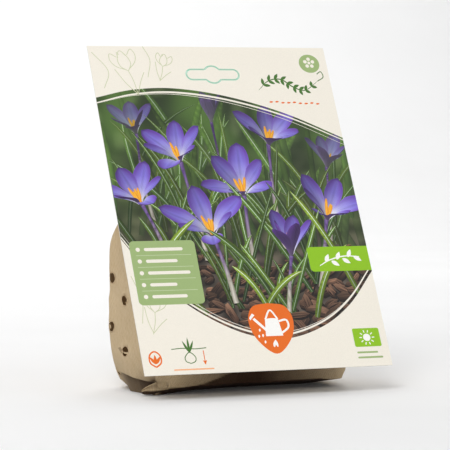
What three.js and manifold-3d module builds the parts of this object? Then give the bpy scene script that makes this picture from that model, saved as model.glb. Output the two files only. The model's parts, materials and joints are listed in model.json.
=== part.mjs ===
// A retail pack of crocus corms: a filled kraft paper bag stands on its folded
// bottom, and a stiff printed card is glued to its front and leans back with it.
// Millimetres, +Z up. The card's printed face looks along -Y.
import * as THREE from 'three';
import { ConvexGeometry } from 'three/addons/geometries/ConvexGeometry.js';
import { mergeVertices } from 'three/addons/utils/BufferGeometryUtils.js';
import Module from 'manifold-3d';

const wasm = await Module();
wasm.setup();

// ---- driving dimensions -------------------------------------------------
const CARD_WIDTH = 145;
const CARD_HEIGHT = 200;
const CARD_THICKNESS = 0.6;
const CARD_LEAN = THREE.MathUtils.degToRad(28.3); // back from upright
const CARD_LIFT = 14.5; // height of its lower edge above the floor

const SLOT_LENGTH = 32; // standard hang slot, scored but not pushed out
const SLOT_HEIGHT = 6.6;
const SLOT_BUMP = 11; // diameter of the round part in its middle
const SLOT_DROP = 18; // from the card's upper edge to the slot's middle
const SCORE_WIDTH = 0.35;
const SCORE_NICK = 1.2; // paper left uncut between two score lines

const GLUE_LENGTH = 96;
const GLUE_WIDTH = 8;
const GLUE_THICKNESS = 0.4;
const GLUE_HEIGHTS = { glue_strip_lower: 70, glue_strip_upper: 142 }; // up the card

const GAP = 0.3; // clearance between pieces that touch
const PAPER = 0.6; // bag wall
const STAND_OFF = CARD_THICKNESS + GAP + GLUE_THICKNESS + GAP; // card face to bag

const BAG_FRONT = 26; // free part of the front panel, behind the card's lower edge
const BAG_TOP = 149.5; // upper end of the flattened mouth
const FLAT_FROM = 114.5; // where front and back panel come together
const CAVITY_TO = 107.5;
const FLAT_HALF = 60; // half width of the flattened mouth
const FLAT_THICKNESS = 2.4; // four layers of paper, the tucked sides between the panels
const HEM_FROM = 130.5; // the mouth is folded over once, towards the back
const HEM_THICKNESS = 1.2;

const HOLE_DIAMETER = 6;
const HOLE_PITCH = 27; // two staggered columns, half a pitch apart
const HOLE_LOW = 8; // lowest hole of the outer column
const HOLE_COLUMNS = { outer: 71, inner: 62.5 }; // from the card's lower edge, along Y

const CORM_COUNT = 10;
const CORM_ROWS = 2;
const CORM_RADIUS = 8.3;
const CORM_HEIGHT = 15;
const CORM_PITCH = 18.4;
const CORM_ROW_Y = [55, 72.8];

// ---- small helpers ------------------------------------------------------
const cardFaceY = (z) => (z - CARD_LIFT) * Math.tan(CARD_LEAN);

function solidFrom(geometry) {
  const plain = geometry.clone();
  plain.deleteAttribute('normal');
  plain.deleteAttribute('uv');
  const merged = mergeVertices(plain, 1e-4);
  const mesh = new wasm.Mesh({
    numProp: 3,
    vertProperties: new Float32Array(merged.attributes.position.array),
    triVerts: new Uint32Array(merged.index.array),
  });
  return new wasm.Manifold(mesh);
}

function geometryFrom(solid) {
  const mesh = solid.getMesh();
  const geometry = new THREE.BufferGeometry();
  geometry.setAttribute('position', new THREE.BufferAttribute(mesh.vertProperties, 3));
  geometry.setIndex(new THREE.BufferAttribute(mesh.triVerts, 1));
  return geometry;
}

function namedMesh(name, geometry, color, roughness) {
  const material = new THREE.MeshStandardMaterial({ color, roughness, metalness: 0 });
  const mesh = new THREE.Mesh(geometry, material);
  mesh.name = name;
  return mesh;
}

// A small repeatable random generator.
function randomFrom(seed) {
  let state = seed;
  return () => {
    state = (state * 1664525 + 1013904223) % 4294967296;
    return state / 4294967296;
  };
}

// A closed skin over rings that all have the same number of points. A ring is the
// same on its two sides, so its two ends are closed by strips from side to side.
function loft(rings) {
  const size = rings[0].length;
  const positions = rings.flat().flatMap((p) => [p.x, p.y, p.z]);
  const faces = [];
  for (let row = 0; row < rings.length - 1; row += 1) {
    for (let i = 0; i < size; i += 1) {
      const a = row * size + i;
      const b = row * size + ((i + 1) % size);
      faces.push(a, b, b + size, a, b + size, a + size);
    }
  }
  const top = (rings.length - 1) * size;
  const opposite = (i) => size - 1 - i;
  for (let i = 0; i < (size - 1) / 2; i += 1) {
    const [a, b, c, d] = [i, i + 1, opposite(i + 1), opposite(i)];
    faces.push(a, d, b, top + a, top + b, top + d);
    if (b !== c) faces.push(b, d, c, top + b, top + c, top + d);
  }
  const geometry = new THREE.BufferGeometry();
  geometry.setAttribute('position', new THREE.Float32BufferAttribute(positions, 3));
  geometry.setIndex(faces);
  return geometry;
}

// ---- the printed card ---------------------------------------------------
// The hang slot's outline: a long round-ended slot with a round middle.
function slotOutline() {
  const half = SLOT_HEIGHT / 2;
  const end = SLOT_LENGTH / 2 - half;
  const bump = SLOT_BUMP / 2;
  const start = Math.asin(half / bump);
  const path = new THREE.Path();
  path.absarc(end, 0, half, -Math.PI / 2, Math.PI / 2, false);
  path.absarc(0, 0, bump, start, Math.PI - start, false);
  path.absarc(-end, 0, half, Math.PI / 2, 1.5 * Math.PI, false);
  path.absarc(0, 0, bump, Math.PI + start, 2 * Math.PI - start, false);
  path.closePath();
  return path;
}

// Four narrow cuts along the slot's outline, with a nick of paper between them.
function scoreLines() {
  const outline = slotOutline();
  const length = outline.getLength();
  const cuts = 4;
  const steps = 14;
  const lines = [];
  for (let cut = 0; cut < cuts; cut += 1) {
    const from = (cut + 0.13) / cuts;
    const to = (cut + 1.13) / cuts - SCORE_NICK / length;
    const outside = [];
    const inside = [];
    for (let i = 0; i <= steps; i += 1) {
      const at = THREE.MathUtils.lerp(from, to, i / steps) % 1;
      const point = outline.getPointAt(at);
      const along = outline.getTangentAt(at);
      const across = new THREE.Vector2(along.y, -along.x).multiplyScalar(SCORE_WIDTH / 2);
      outside.push(point.clone().add(across));
      inside.unshift(point.clone().sub(across));
    }
    const points = [...outside, ...inside];
    for (const p of points) p.y += CARD_HEIGHT - SLOT_DROP;
    lines.push(new THREE.Path(points));
  }
  return lines;
}

function card() {
  const half = CARD_WIDTH / 2;
  const sheet = new THREE.Shape();
  sheet.moveTo(-half, 0);
  sheet.lineTo(half, 0);
  sheet.lineTo(half, CARD_HEIGHT);
  sheet.lineTo(-half, CARD_HEIGHT);
  sheet.closePath();
  sheet.holes = scoreLines();
  const geometry = new THREE.ExtrudeGeometry(sheet, { depth: CARD_THICKNESS, bevelEnabled: false });
  geometry.translate(0, 0, -CARD_THICKNESS);
  return namedMesh('card', geometry, 0xf3ede0, 0.55);
}

function glueStrip(name, heightUpCard) {
  const geometry = new THREE.BoxGeometry(GLUE_LENGTH, GLUE_WIDTH, GLUE_THICKNESS);
  const mesh = namedMesh(name, geometry, 0xe8e0c8, 0.4);
  const depth = CARD_THICKNESS + GAP + GLUE_THICKNESS / 2;
  mesh.position.set(0, heightUpCard, -depth);
  return mesh;
}

// ---- the kraft paper bag ------------------------------------------------
// Level outlines of the bag, from the floor up. Each one gives the front panel's
// y and half width, the sides' tucked middle (x, y), the back folds (x, y), and
// how far the back panel's middle reaches. Front panels above the free part lie
// on the card's back.
const leanOn = (z) => Math.max(BAG_FRONT, cardFaceY(z) + STAND_OFF / Math.cos(CARD_LEAN));
const level = (z, front, frontHalf, tuck, backFold, back, fold = 7) => (
  { z, front, frontHalf, tuck, backFold, back, fold });
function flatLevel(z, thickness) {
  const front = leanOn(z);
  const side = [FLAT_HALF, front + thickness / 2];
  return level(z, front, FLAT_HALF, side, [FLAT_HALF, front + thickness], front + thickness, 0.5);
}
const LEVELS = [
  level(0, 50, 48, [54, 61], [52.5, 76], 84, 9),
  level(4, 28.5, 56, [61, 55], [58.5, 75.5], 90.5, 5),
  level(9, 27, 57.2, [65, 53], [61.6, 75], 93.8),
  level(20, BAG_FRONT, 58, [63.6, 53], [64.4, 74.5], 97),
  level(34, BAG_FRONT, 58.4, [60, 53], [66.2, 74.2], 98.6),
  level(48, BAG_FRONT, 58.6, [57.6, 53], [67, 74], 99.6),
  level(62, leanOn(62), 59, [57.6, 54], [67.2, 74], 100),
  level(76, leanOn(76), 59.2, [57.8, 57], [66.9, 74.2], 98.8),
  level(85, leanOn(85), 59.4, [56.4, 59], [66, 74], 95),
  level(91, leanOn(91), 59.5, [52.5, 61], [62.4, 72.6], 87.6),
  level(99, leanOn(99), 59.6, [47, 60.5], [60.6, 67], 75.4, 6),
  level(CAVITY_TO, leanOn(CAVITY_TO), 59.8, [49, 58.8], [60, 61.6], 65, 4),
  flatLevel(FLAT_FROM, FLAT_THICKNESS),
  flatLevel(HEM_FROM, FLAT_THICKNESS),
  flatLevel(HEM_FROM + 1, FLAT_THICKNESS + HEM_THICKNESS),
  flatLevel(BAG_TOP, FLAT_THICKNESS + HEM_THICKNESS),
];

// One side of a level outline, from the front fold to the middle of the back.
function halfOutline({ z, front, frontHalf, tuck, backFold, back, fold }) {
  const at = (x, y) => new THREE.Vector3(x, y, z);
  const between = (a, b, t) => new THREE.Vector3().lerpVectors(a, b, t);
  const frontFold = at(frontHalf, front);
  const middle = at(...tuck);
  const rear = at(...backFold);
  const foldStart = at(frontHalf - fold, front);
  const foldEnd = between(frontFold, middle, Math.min(0.45, fold / 25 + 0.1));
  const rearStart = between(middle, rear, 0.84);
  const rearEnd = at(backFold[0] * 0.955, THREE.MathUtils.lerp(backFold[1], back, 0.09));
  const panel = (t) => at(
    rearEnd.x * (1 - t),
    THREE.MathUtils.lerp(rearEnd.y, back, 1 - (1 - t) ** 2),
  );
  const bend = (a, b, c, steps) => (
    new THREE.QuadraticBezierCurve3(a, b, c).getPoints(steps).slice(1));
  return [
    foldStart,
    ...bend(foldStart, frontFold, foldEnd, 3),
    ...bend(foldEnd, middle, rearStart, 4),
    ...bend(rearStart, rear, rearEnd, 2),
    ...[0.2, 0.4, 0.6, 0.8].map(panel),
    at(0, back),
  ];
}

function outline(entry) {
  const right = halfOutline(entry);
  const left = right.slice(0, -1).map((p) => new THREE.Vector3(-p.x, p.y, p.z)).reverse();
  return [...right, ...left];
}

// The levels of the space inside: moved in by the paper's thickness, and by more
// where a panel slopes, so that the paper stays as thick there.
function insideLevels() {
  const mix = THREE.MathUtils.lerp;
  const used = LEVELS.filter((entry) => entry.z <= CAVITY_TO);
  return used.map((entry, i) => {
    const under = used[Math.max(0, i - 1)];
    const over = used[Math.min(used.length - 1, i + 1)];
    const rise = over.z - under.z;
    const inset = (value) => PAPER * Math.hypot(1, (value(over) - value(under)) / rise);
    const t = i === 0 ? PAPER / over.z : 0;
    const here = (value) => mix(value(entry), value(over), t);
    const front = inset((e) => e.front);
    const back = inset((e) => e.back);
    const frontHalf = inset((e) => e.frontHalf);
    const tuckX = inset((e) => e.tuck[0]);
    const foldX = inset((e) => e.backFold[0]);
    return {
      z: mix(entry.z, over.z, t),
      front: here((e) => e.front) + front,
      frontHalf: here((e) => e.frontHalf) - frontHalf,
      tuck: [here((e) => e.tuck[0]) - tuckX, here((e) => e.tuck[1])],
      backFold: [here((e) => e.backFold[0]) - 3 * foldX, here((e) => e.backFold[1])],
      back: here((e) => e.back) - back,
      fold: entry.fold,
    };
  });
}

// A round cutter along X or Y.
function punch(x, y, z, axis, length) {
  const cutter = new THREE.CylinderGeometry(HOLE_DIAMETER / 2, HOLE_DIAMETER / 2, length, 12);
  if (axis === 'x') cutter.rotateZ(Math.PI / 2);
  cutter.translate(x, y, z);
  return solidFrom(cutter);
}

// Air holes: the flat bag was punched through all its layers, so the two staggered
// columns beside each back fold come again on the back panel and, near the floor,
// on the front one.
function airHoles() {
  const holes = [];
  const reach = 24;
  for (const side of [-1, 1]) {
    for (let row = 0; row < 3; row += 1) {
      const outer = HOLE_LOW + row * HOLE_PITCH;
      const inner = outer + HOLE_PITCH / 2;
      holes.push(punch(side * 62, HOLE_COLUMNS.outer, outer, 'x', reach));
      holes.push(punch(side * 60, HOLE_COLUMNS.inner, inner, 'x', reach));
      holes.push(punch(side * 44, 90, inner, 'y', reach));
      if (row > 0) holes.push(punch(side * 56, 84, outer, 'y', reach));
    }
    holes.push(punch(side * 50, BAG_FRONT, HOLE_LOW + HOLE_PITCH, 'y', 12));
    holes.push(punch(side * 40, BAG_FRONT, HOLE_LOW + HOLE_PITCH / 2, 'y', 12));
  }
  return holes;
}

// The folded corner of the bottom that droops to the floor at the front left.
function dogEar() {
  const floor = [[-64.7, 45.6], [-63.8, 34.5], [-60.8, 30.6], [-44, 37.5], [-46, 64], [-58, 61]];
  const crease = [[-64.4, 51, 9], [-57.6, 28.8, 5], [-62.5, 62, 9], [-48, 32, 4.5], [-50, 60, 6]];
  const points = [...floor.map(([x, y]) => [x, y, 0]), ...crease];
  return solidFrom(new ConvexGeometry(points.map((p) => new THREE.Vector3(...p))));
}

function bag() {
  const outside = solidFrom(loft(LEVELS.map(outline))).add(dogEar());
  let shell = outside.subtract(solidFrom(loft(insideLevels().map(outline))));
  for (const hole of airHoles()) shell = shell.subtract(hole);
  return namedMesh('bag', geometryFrom(shell), 0xbaa686, 0.85);
}

// ---- the corms ----------------------------------------------------------
// A flat-bottomed bulb with a short pointed shoot, turned round its own axis.
function cormProfile() {
  const shape = [[0, 0], [0.42, 0], [0.8, 0.12], [1, 0.36], [0.94, 0.56], [0.66, 0.74],
    [0.3, 0.84], [0.13, 0.93], [0, 1]];
  return shape.map(([r, h]) => new THREE.Vector2(r * CORM_RADIUS, h * CORM_HEIGHT));
}

function corms() {
  const random = randomFrom(7);
  const group = new THREE.Group();
  const perRow = CORM_COUNT / CORM_ROWS;
  for (let i = 0; i < CORM_COUNT; i += 1) {
    const column = i % perRow;
    const row = Math.floor(i / perRow);
    const geometry = new THREE.LatheGeometry(cormProfile(), 12);
    geometry.rotateX(Math.PI / 2);
    const size = 0.92 + 0.08 * random();
    geometry.scale(size, size, size);
    const number = String(i + 1).padStart(2, '0');
    const corm = namedMesh(`corm_${number}`, geometry, 0x8a5a33, 0.8);
    const x = (column - (perRow - 1) / 2) * CORM_PITCH + 0.8 * (random() - 0.5);
    corm.position.set(x, CORM_ROW_Y[row], PAPER + GAP);
    corm.rotation.z = 2 * Math.PI * random();
    group.add(corm);
  }
  return group;
}

// ---- assembly -----------------------------------------------------------
const pack = new THREE.Group();
const cardPlane = new THREE.Group();
cardPlane.rotation.x = Math.PI / 2 - CARD_LEAN;
cardPlane.position.z = CARD_LIFT;
cardPlane.add(card());
for (const [name, height] of Object.entries(GLUE_HEIGHTS)) {
  cardPlane.add(glueStrip(name, height));
}
pack.add(cardPlane, bag(), corms());

// The origin is on the floor, under the middle of the pack's box.
pack.updateMatrixWorld(true);
const box = new THREE.Box3().setFromObject(pack, true);
const middle = box.getCenter(new THREE.Vector3());
pack.position.set(-middle.x, -middle.y, -box.min.z);

export default pack;
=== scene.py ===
# %% [markdown]
# # A shop pack of crocus corms: kraft paper bag and printed card
#
# The object is a filled brown paper bag with punched air holes. It stands on its folded
# bottom, and a stiff printed card is glued to its front and leans back with it. The CAD
# model gives every size. This lesson dresses it: a card whose print is part of its mesh,
# a creased bag with real holes, hot melt, and corms with a fibrous skin.
#
# All lengths are metres in Blender. The card's design is laid out in millimetres from the
# card's lower left corner, because that is how a printer thinks of it.

# %% Load the frame
import json
import math

import bpy
import numpy as np
from mathutils import Matrix, Vector
from mathutils.bvhtree import BVHTree
from mathutils.geometry import delaunay_2d_cdt, tessellate_polygon

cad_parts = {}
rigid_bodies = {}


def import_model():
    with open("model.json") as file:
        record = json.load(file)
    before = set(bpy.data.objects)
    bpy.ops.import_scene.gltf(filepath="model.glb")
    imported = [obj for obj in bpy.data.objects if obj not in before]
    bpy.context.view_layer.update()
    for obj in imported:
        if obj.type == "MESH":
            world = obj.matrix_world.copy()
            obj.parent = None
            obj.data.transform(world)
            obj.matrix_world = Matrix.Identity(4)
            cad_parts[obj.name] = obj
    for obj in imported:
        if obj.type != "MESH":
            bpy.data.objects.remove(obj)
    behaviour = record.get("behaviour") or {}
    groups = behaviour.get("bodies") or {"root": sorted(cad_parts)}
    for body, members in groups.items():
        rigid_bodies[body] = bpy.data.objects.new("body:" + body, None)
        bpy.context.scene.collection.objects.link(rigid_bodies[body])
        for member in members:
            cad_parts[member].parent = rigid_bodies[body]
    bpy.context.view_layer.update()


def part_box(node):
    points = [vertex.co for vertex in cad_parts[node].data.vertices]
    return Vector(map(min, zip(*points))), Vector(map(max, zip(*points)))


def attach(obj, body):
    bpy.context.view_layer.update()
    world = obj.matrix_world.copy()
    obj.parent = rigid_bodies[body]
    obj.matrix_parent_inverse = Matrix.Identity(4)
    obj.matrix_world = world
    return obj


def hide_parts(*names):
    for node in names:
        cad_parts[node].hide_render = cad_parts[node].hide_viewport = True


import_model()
MM = 0.001

# %% [markdown]
# ## The card's plane
#
# The card leans back by 28.3 degrees. Everything printed is placed by two numbers on the
# card, so one helper turns (across, up, depth) into a point of the shared frame. The
# node's box gives the lower edge, which keeps the visual card exactly where the CAD has it.

# %% Find the card
CARD_WIDTH, CARD_HEIGHT, CARD_THICKNESS = 145.0, 200.0, 0.6
CARD_LEAN = math.radians(28.3)
card_low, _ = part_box("card")
card_foot = Vector((0, card_low[1], card_low[2] + CARD_THICKNESS * MM * math.sin(CARD_LEAN)))
card_up = Vector((0, math.sin(CARD_LEAN), math.cos(CARD_LEAN)))
card_normal = Vector((0, -math.cos(CARD_LEAN), math.sin(CARD_LEAN)))


def on_card(across, up, depth):
    """A point given in mm from the card's lower left corner, depth behind its face."""
    side = Vector(((across - CARD_WIDTH / 2) * MM, 0, 0))
    return card_foot + side + card_up * (up * MM) - card_normal * (depth * MM)


print("card foot", [round(v, 4) for v in card_foot])

# %% [markdown]
# ## Camera, floor and light
#
# The photograph was taken from far away with a long lens, a little to the left of the
# pack and almost level with it. The four corners of the card fix the view, so the camera
# is placed from the card's foot. The set is a catalogue one: a sweep of pale paper and
# four soft boxes. A key and a fill stand high in front, a low one reaches the bag's front
# under the leaning card, and the last one lights the paper behind.

# %% Camera
VIEW_TURN, VIEW_RISE = math.radians(-21.773), math.radians(2.887)
VIEW_DISTANCE, LENS = 1.27963, 189.83
AIM_RIGHT, AIM_UP = -0.024982, 0.078394

view_back = Vector((math.sin(VIEW_TURN) * math.cos(VIEW_RISE),
                    -math.cos(VIEW_TURN) * math.cos(VIEW_RISE), math.sin(VIEW_RISE)))
view_right = Vector((math.cos(VIEW_TURN), math.sin(VIEW_TURN), 0))
view_up = view_back.cross(view_right)


def add_object(name, data):
    """Put a mesh, a camera or a lamp into the scene."""
    piece = bpy.data.objects.new(name, data)
    bpy.context.scene.collection.objects.link(piece)
    return piece


camera_data = bpy.data.cameras.new("camera")
camera_data.lens, camera_data.sensor_width = LENS, 36
camera_data.clip_start, camera_data.clip_end = 0.01, 20
camera = add_object("camera", camera_data)
aim = card_foot + view_right * AIM_RIGHT + view_up * AIM_UP
axes = Matrix((view_right, view_up, view_back)).transposed().to_4x4()
camera.matrix_world = Matrix.Translation(aim + view_back * VIEW_DISTANCE) @ axes
bpy.context.scene.camera = camera
print("camera at", [round(v, 3) for v in camera.matrix_world.translation])

# %% [markdown]
# ### Finishes
#
# A finish is a material, and a material is a tree of nodes. Built by hand, each node takes
# five or six lines. With the helpers below a recipe reads from top to bottom: a noise is
# spread over a range, two tones are blended by it, and the result goes into a socket.

# %% Helpers for node trees and finishes
def srgb(*levels):
    """Linear colour from 0-255 display levels."""
    values = np.asarray(levels, float) / 255
    return np.where(values <= 0.04045, values / 12.92, ((values + 0.055) / 1.055) ** 2.4)


def opaque(*levels):
    """The same as a colour socket wants it."""
    return (*srgb(*levels), 1)


class NodeTree:
    """A tree whose nodes are added and linked by short calls."""

    def __init__(self, tree):
        self.nodes, self.links = tree.nodes, tree.links

    def add(self, kind, settings=None, **inputs):
        """A node's outputs. An input is given by its name, or by its number as in_0."""
        node = self.nodes.new(kind)
        for key, value in (settings or {}).items():
            setattr(node, key, value)
        for key, value in inputs.items():
            socket = node.inputs[int(key[3:]) if key.startswith("in_") else key.replace("_", " ")]
            if isinstance(value, bpy.types.NodeSocket):
                self.links.new(value, socket)
            else:
                socket.default_value = value
        return node.outputs

    def math(self, operation, *values):
        return self.add("ShaderNodeMath", {"operation": operation},
                        **{f"in_{i}": value for i, value in enumerate(values)})[0]


class Finish(NodeTree):
    """A material on one Principled shader."""

    def __init__(self, name, **constants):
        self.material = bpy.data.materials.new(name)
        self.material.use_nodes = True
        super().__init__(self.material.node_tree)
        self.sockets = self.nodes["Principled BSDF"].inputs
        for socket, value in constants.items():
            self.sockets[socket.replace("_", " ")].default_value = value

    def noise(self, scale, detail=3.0, roughness=0.5, stretch=(1, 1, 1), uv=None):
        """Noise on the object's own coordinates, or on a UV map."""
        source = (self.add("ShaderNodeUVMap", {"uv_map": uv})["UV"] if uv
                  else self.add("ShaderNodeTexCoord")["Object"])
        place = self.add("ShaderNodeMapping", Vector=source, Scale=stretch)["Vector"]
        return self.add("ShaderNodeTexNoise", Vector=place, Scale=scale, Detail=detail,
                        Roughness=roughness)["Fac"]

    def spread(self, value, low, high, to_low=0.0, to_high=1.0):
        return self.add("ShaderNodeMapRange", Value=value, From_Min=low, From_Max=high,
                        To_Min=to_low, To_Max=to_high)["Result"]

    def blend(self, factor, a, b, mode="MIX"):
        return self.add("ShaderNodeMix", {"data_type": "RGBA", "blend_type": mode},
                        in_0=factor, in_6=a, in_7=b)[2]

    def bump(self, height, strength, distance, **under):
        return self.add("ShaderNodeBump", Height=height, Strength=strength, Distance=distance,
                        **under)["Normal"]

    def into(self, socket, value):
        self.links.new(value, self.sockets[socket])


print("colour check: display white is", [float(v) for v in srgb(255, 255, 255)], "in linear light")

# %% Floor, backdrop and lights
FLOOR_HALF, SWEEP_FROM, SWEEP_RADIUS, SWEEP_STEPS, BACKDROP_TOP = 3.0, 1.2, 0.8, 12, 3.0


def grid_quads(rows, columns):
    """Four-sided faces between the points of a grid."""
    return [(a, a + columns, a + columns + 1, a + 1)
            for row in range(rows - 1) for a in range(row * columns, (row + 1) * columns - 1)]


def new_mesh(name, points, faces, edges=()):
    mesh = bpy.data.meshes.new(name)
    mesh.from_pydata(points, edges, faces)
    return mesh


profile = [(-FLOOR_HALF, 0.0), (SWEEP_FROM, 0.0)]
for step in range(1, SWEEP_STEPS + 1):
    turn = math.pi / 2 * step / SWEEP_STEPS
    profile.append((SWEEP_FROM + SWEEP_RADIUS * math.sin(turn),
                    SWEEP_RADIUS * (1 - math.cos(turn))))
profile.append((SWEEP_FROM + SWEEP_RADIUS, BACKDROP_TOP))
floor_mesh = new_mesh("floor", [(x, y, z) for x in (-FLOOR_HALF, FLOOR_HALF) for y, z in profile],
                      grid_quads(2, len(profile)))
floor_mesh.shade_smooth()
floor = add_object("floor", floor_mesh)
floor_finish = Finish("floor_paper", Roughness=0.9)
floor_tone = floor_finish.spread(floor_finish.noise(6.0), 0.3, 0.7)
floor_finish.into("Base Color", floor_finish.blend(
    floor_tone, opaque(243, 243, 243), opaque(246, 246, 246)))
floor_mesh.materials.append(floor_finish.material)


def soft_box(name, place, look_at, size, power):
    data = bpy.data.lights.new(name, "AREA")
    data.shape, data.size, data.size_y, data.energy = "RECTANGLE", size[0], size[1], power
    turn = (Vector(look_at) - Vector(place)).to_track_quat("-Z", "Y")
    add_object(name, data).matrix_world = Matrix.Translation(place) @ turn.to_matrix().to_4x4()


soft_box("key", (-0.85, -1.15, 1.5), (0, 0, 0.08), (1.0, 1.0), 19)
soft_box("fill", (1.3, -1.0, 1.6), (0, 0, 0.1), (1.0, 1.0), 4)
soft_box("low_front", (-0.3, -1.35, 0.14), (0, 0, 0.02), (0.8, 0.2), 2.0)
soft_box("back", (0.2, 0.9, 1.6), (0, 1.6, 0.6), (1.6, 1.2), 17)
world = bpy.data.worlds.new("studio")
world.use_nodes = True
for socket, value in (("Color", (1, 1, 1, 1)), ("Strength", 0.36)):
    world.node_tree.nodes["Background"].inputs[socket].default_value = value
bpy.context.scene.world = world
bpy.context.scene.view_settings.view_transform = "Standard"
print("four soft boxes and a sweep of pale paper")

# %% [markdown]
# ## The card's print
#
# Ink lies in the card's surface, so the print is made as a mosaic. Every printed shape is
# a small flat mesh with a colour at each corner, and the shapes are stacked like paper
# cut-outs. A ray cast straight down the stack tells which ink is on top at any point. The
# rims that show become edges of one constrained Delaunay triangulation, and its
# triangles take their colours from such rays. No image is needed, rims stay crisp at any
# distance, and the colours bake as an ordinary mesh attribute.

# %% Print shop: stack shapes over one another
stack_points, stack_faces, stack_levels, stack_owners, rim_pairs = [], [], [], [], []
stack_starts = [0]
owners = 0
CREAM = (243, 237, 224)
CARD_CORNERS = [(0, 0), (CARD_WIDTH, 0), (CARD_WIDTH, CARD_HEIGHT), (0, CARD_HEIGHT)]


def rim_edges(points, faces):
    """Edges of a flat mesh where it ends, or where it folds over itself."""
    a, b, c = (points[faces[:, k]] for k in range(3))
    turn = np.sign((b[:, 0] - a[:, 0]) * (c[:, 1] - a[:, 1])
                   - (b[:, 1] - a[:, 1]) * (c[:, 0] - a[:, 0]))
    pairs = np.sort(faces[:, [0, 1, 1, 2, 2, 0]].reshape(-1, 2), axis=1)
    sides = np.repeat(turn, 3)
    keys, where = np.unique(pairs, axis=0, return_inverse=True)
    where = where.ravel()
    uses = np.bincount(where)
    balance = np.bincount(where, weights=sides)
    return keys[(uses == 1) | (np.abs(balance) < uses - 0.5)]


def lay(points, faces, levels, depth=None):
    """Put one shape on top of the stack: (n, 2) mm, triangles, display levels 0-255."""
    global owners
    points, faces = np.asarray(points, float), np.asarray(faces, int).reshape(-1, 3)
    height = np.full(len(points), float(owners)) if depth is None else owners + depth
    start = stack_starts[-1]
    stack_starts.append(start + len(points))
    stack_points.append(np.column_stack([points, height]))
    stack_faces.append(faces + start)
    stack_levels.append(np.broadcast_to(np.asarray(levels, float), (len(points), 3)))
    stack_owners.append(np.full(len(faces), owners))
    rim_pairs.append(rim_edges(points, faces) + start)
    owners += 1


def lay_patch(outline, level):
    """Lay one flat shape of a single colour, given by its outline."""
    outline = np.asarray(outline, float)
    cells = tessellate_polygon([[Vector((x, y, 0)) for x, y in outline]])
    lay(outline, cells, level)


def grid_faces(rows, columns):
    """Two triangles for each cell of a grid of points."""
    corner = (np.arange(rows - 1)[:, None] * columns + np.arange(columns - 1)).ravel()
    lower = np.stack([corner, corner + 1, corner + columns + 1], axis=1)
    upper = np.stack([corner, corner + columns + 1, corner + columns], axis=1)
    return np.concatenate([lower, upper])


def lay_grid(points, levels, depth=None):
    """Lay a (rows, columns, 2) grid with a colour at each of its points."""
    rows, columns = points.shape[:2]
    lay(points.reshape(-1, 2), grid_faces(rows, columns), levels.reshape(-1, 3),
        None if depth is None else depth.ravel())


def smooth_line(knots, steps=8):
    """A Catmull-Rom curve through the knots, as an (n, 2) array."""
    knots = np.asarray(knots, float)
    ends = [2 * knots[0] - knots[1], *knots, 2 * knots[-1] - knots[-2]]
    line = []
    for p0, p1, p2, p3 in zip(ends, ends[1:], ends[2:], ends[3:]):
        for t in np.arange(steps) / steps:
            line.append(0.5 * (2 * p1 + (p2 - p0) * t + (2 * p0 - 5 * p1 + 4 * p2 - p3) * t ** 2
                               + (3 * p1 - p0 - 3 * p2 + p3) * t ** 3))
    return np.array([*line, knots[-1]])


def across_line(line):
    """Unit vectors square to a line, one for each of its points."""
    along = np.gradient(line, axis=0)
    along /= np.maximum(np.linalg.norm(along, axis=1, keepdims=True), 1e-9)
    return np.stack([-along[:, 1], along[:, 0]], axis=1)


def lay_ribbon(line, half_width, offsets, levels):
    """Lay a band along a line. offsets (-1..1) and levels give its colours across."""
    line = np.asarray(line, float)
    half = np.broadcast_to(np.asarray(half_width, float), (len(line),))
    side = across_line(line)
    grid = line[:, None] + side[:, None] * half[:, None, None] * np.asarray(offsets)[None, :, None]
    colours = np.broadcast_to(np.asarray(levels, float), (len(line), len(offsets), 3))
    lay_grid(grid, colours)


def lay_stroke(knots, width, level, steps=6, taper=0.0):
    """Lay a pen line of one colour. taper 1 brings both its ends to a point."""
    line = smooth_line(knots, steps) if len(knots) > 2 else np.asarray(knots, float)
    t = np.linspace(0, 1, len(line))
    half = width / 2 * (1 - taper * np.abs(2 * t - 1) ** 2)
    side = across_line(line) * half[:, None]
    lay_patch(np.concatenate([line + side, (line - side)[::-1]]), level)


lay_patch(CARD_CORNERS, CREAM)
print("print shop ready: the bare sheet is laid")

# %% [markdown]
# ### The picture: crocuses over bark
#
# The card shows a close picture of violet crocuses with grassy leaves over bark chips.
# Each flower is modelled as six thin curved petals in space, turned and tilted, and then
# projected onto the card with the light worked out at every corner. Its petals keep their
# depth in the stack, so they hide one another as real ones do. Leaves and bark are bands
# and chips with their own shading.

# %% Background: soft greens over dark soil
picture_random = np.random.default_rng(21)
between, around = picture_random.uniform, picture_random.normal
PICTURE_LOW, PICTURE_HIGH = 15.0, 176.0
TOP_ARC = smooth_line([(0, 167), (22, 172), (47, 173), (78, 168), (112, 157), (145, 141)], 9)
LOW_ARC = smooth_line([(0, 80), (14, 58), (34, 38), (59, 23), (83, 18), (107, 24), (127, 37),
                       (145, 57)], 9)


def mix(a, b, t):
    return np.asarray(a, float) * (1 - t) + np.asarray(b, float) * t


def ramp(value, start, length):
    """0 at start and 1 a length further on, which may lie either way. It is flat beyond."""
    return np.clip((value - start) / length, 0, 1)


def bell(value, centre, width):
    return np.exp(-((value - centre) / width) ** 2)


def soft_field(x, y, seed, size):
    """Smooth random waves between 0 and 1, for tones that drift over the picture."""
    waves = np.random.default_rng(seed)
    total = np.zeros(np.broadcast(x, y).shape)
    for _ in range(9):
        turn, phase = waves.uniform(0, math.tau, 2)
        length = size * waves.uniform(0.6, 1.8)
        total += np.sin((x * math.cos(turn) + y * math.sin(turn)) * math.tau / length + phase)
    return 1 / (1 + np.exp(-total * 0.7))


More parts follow.
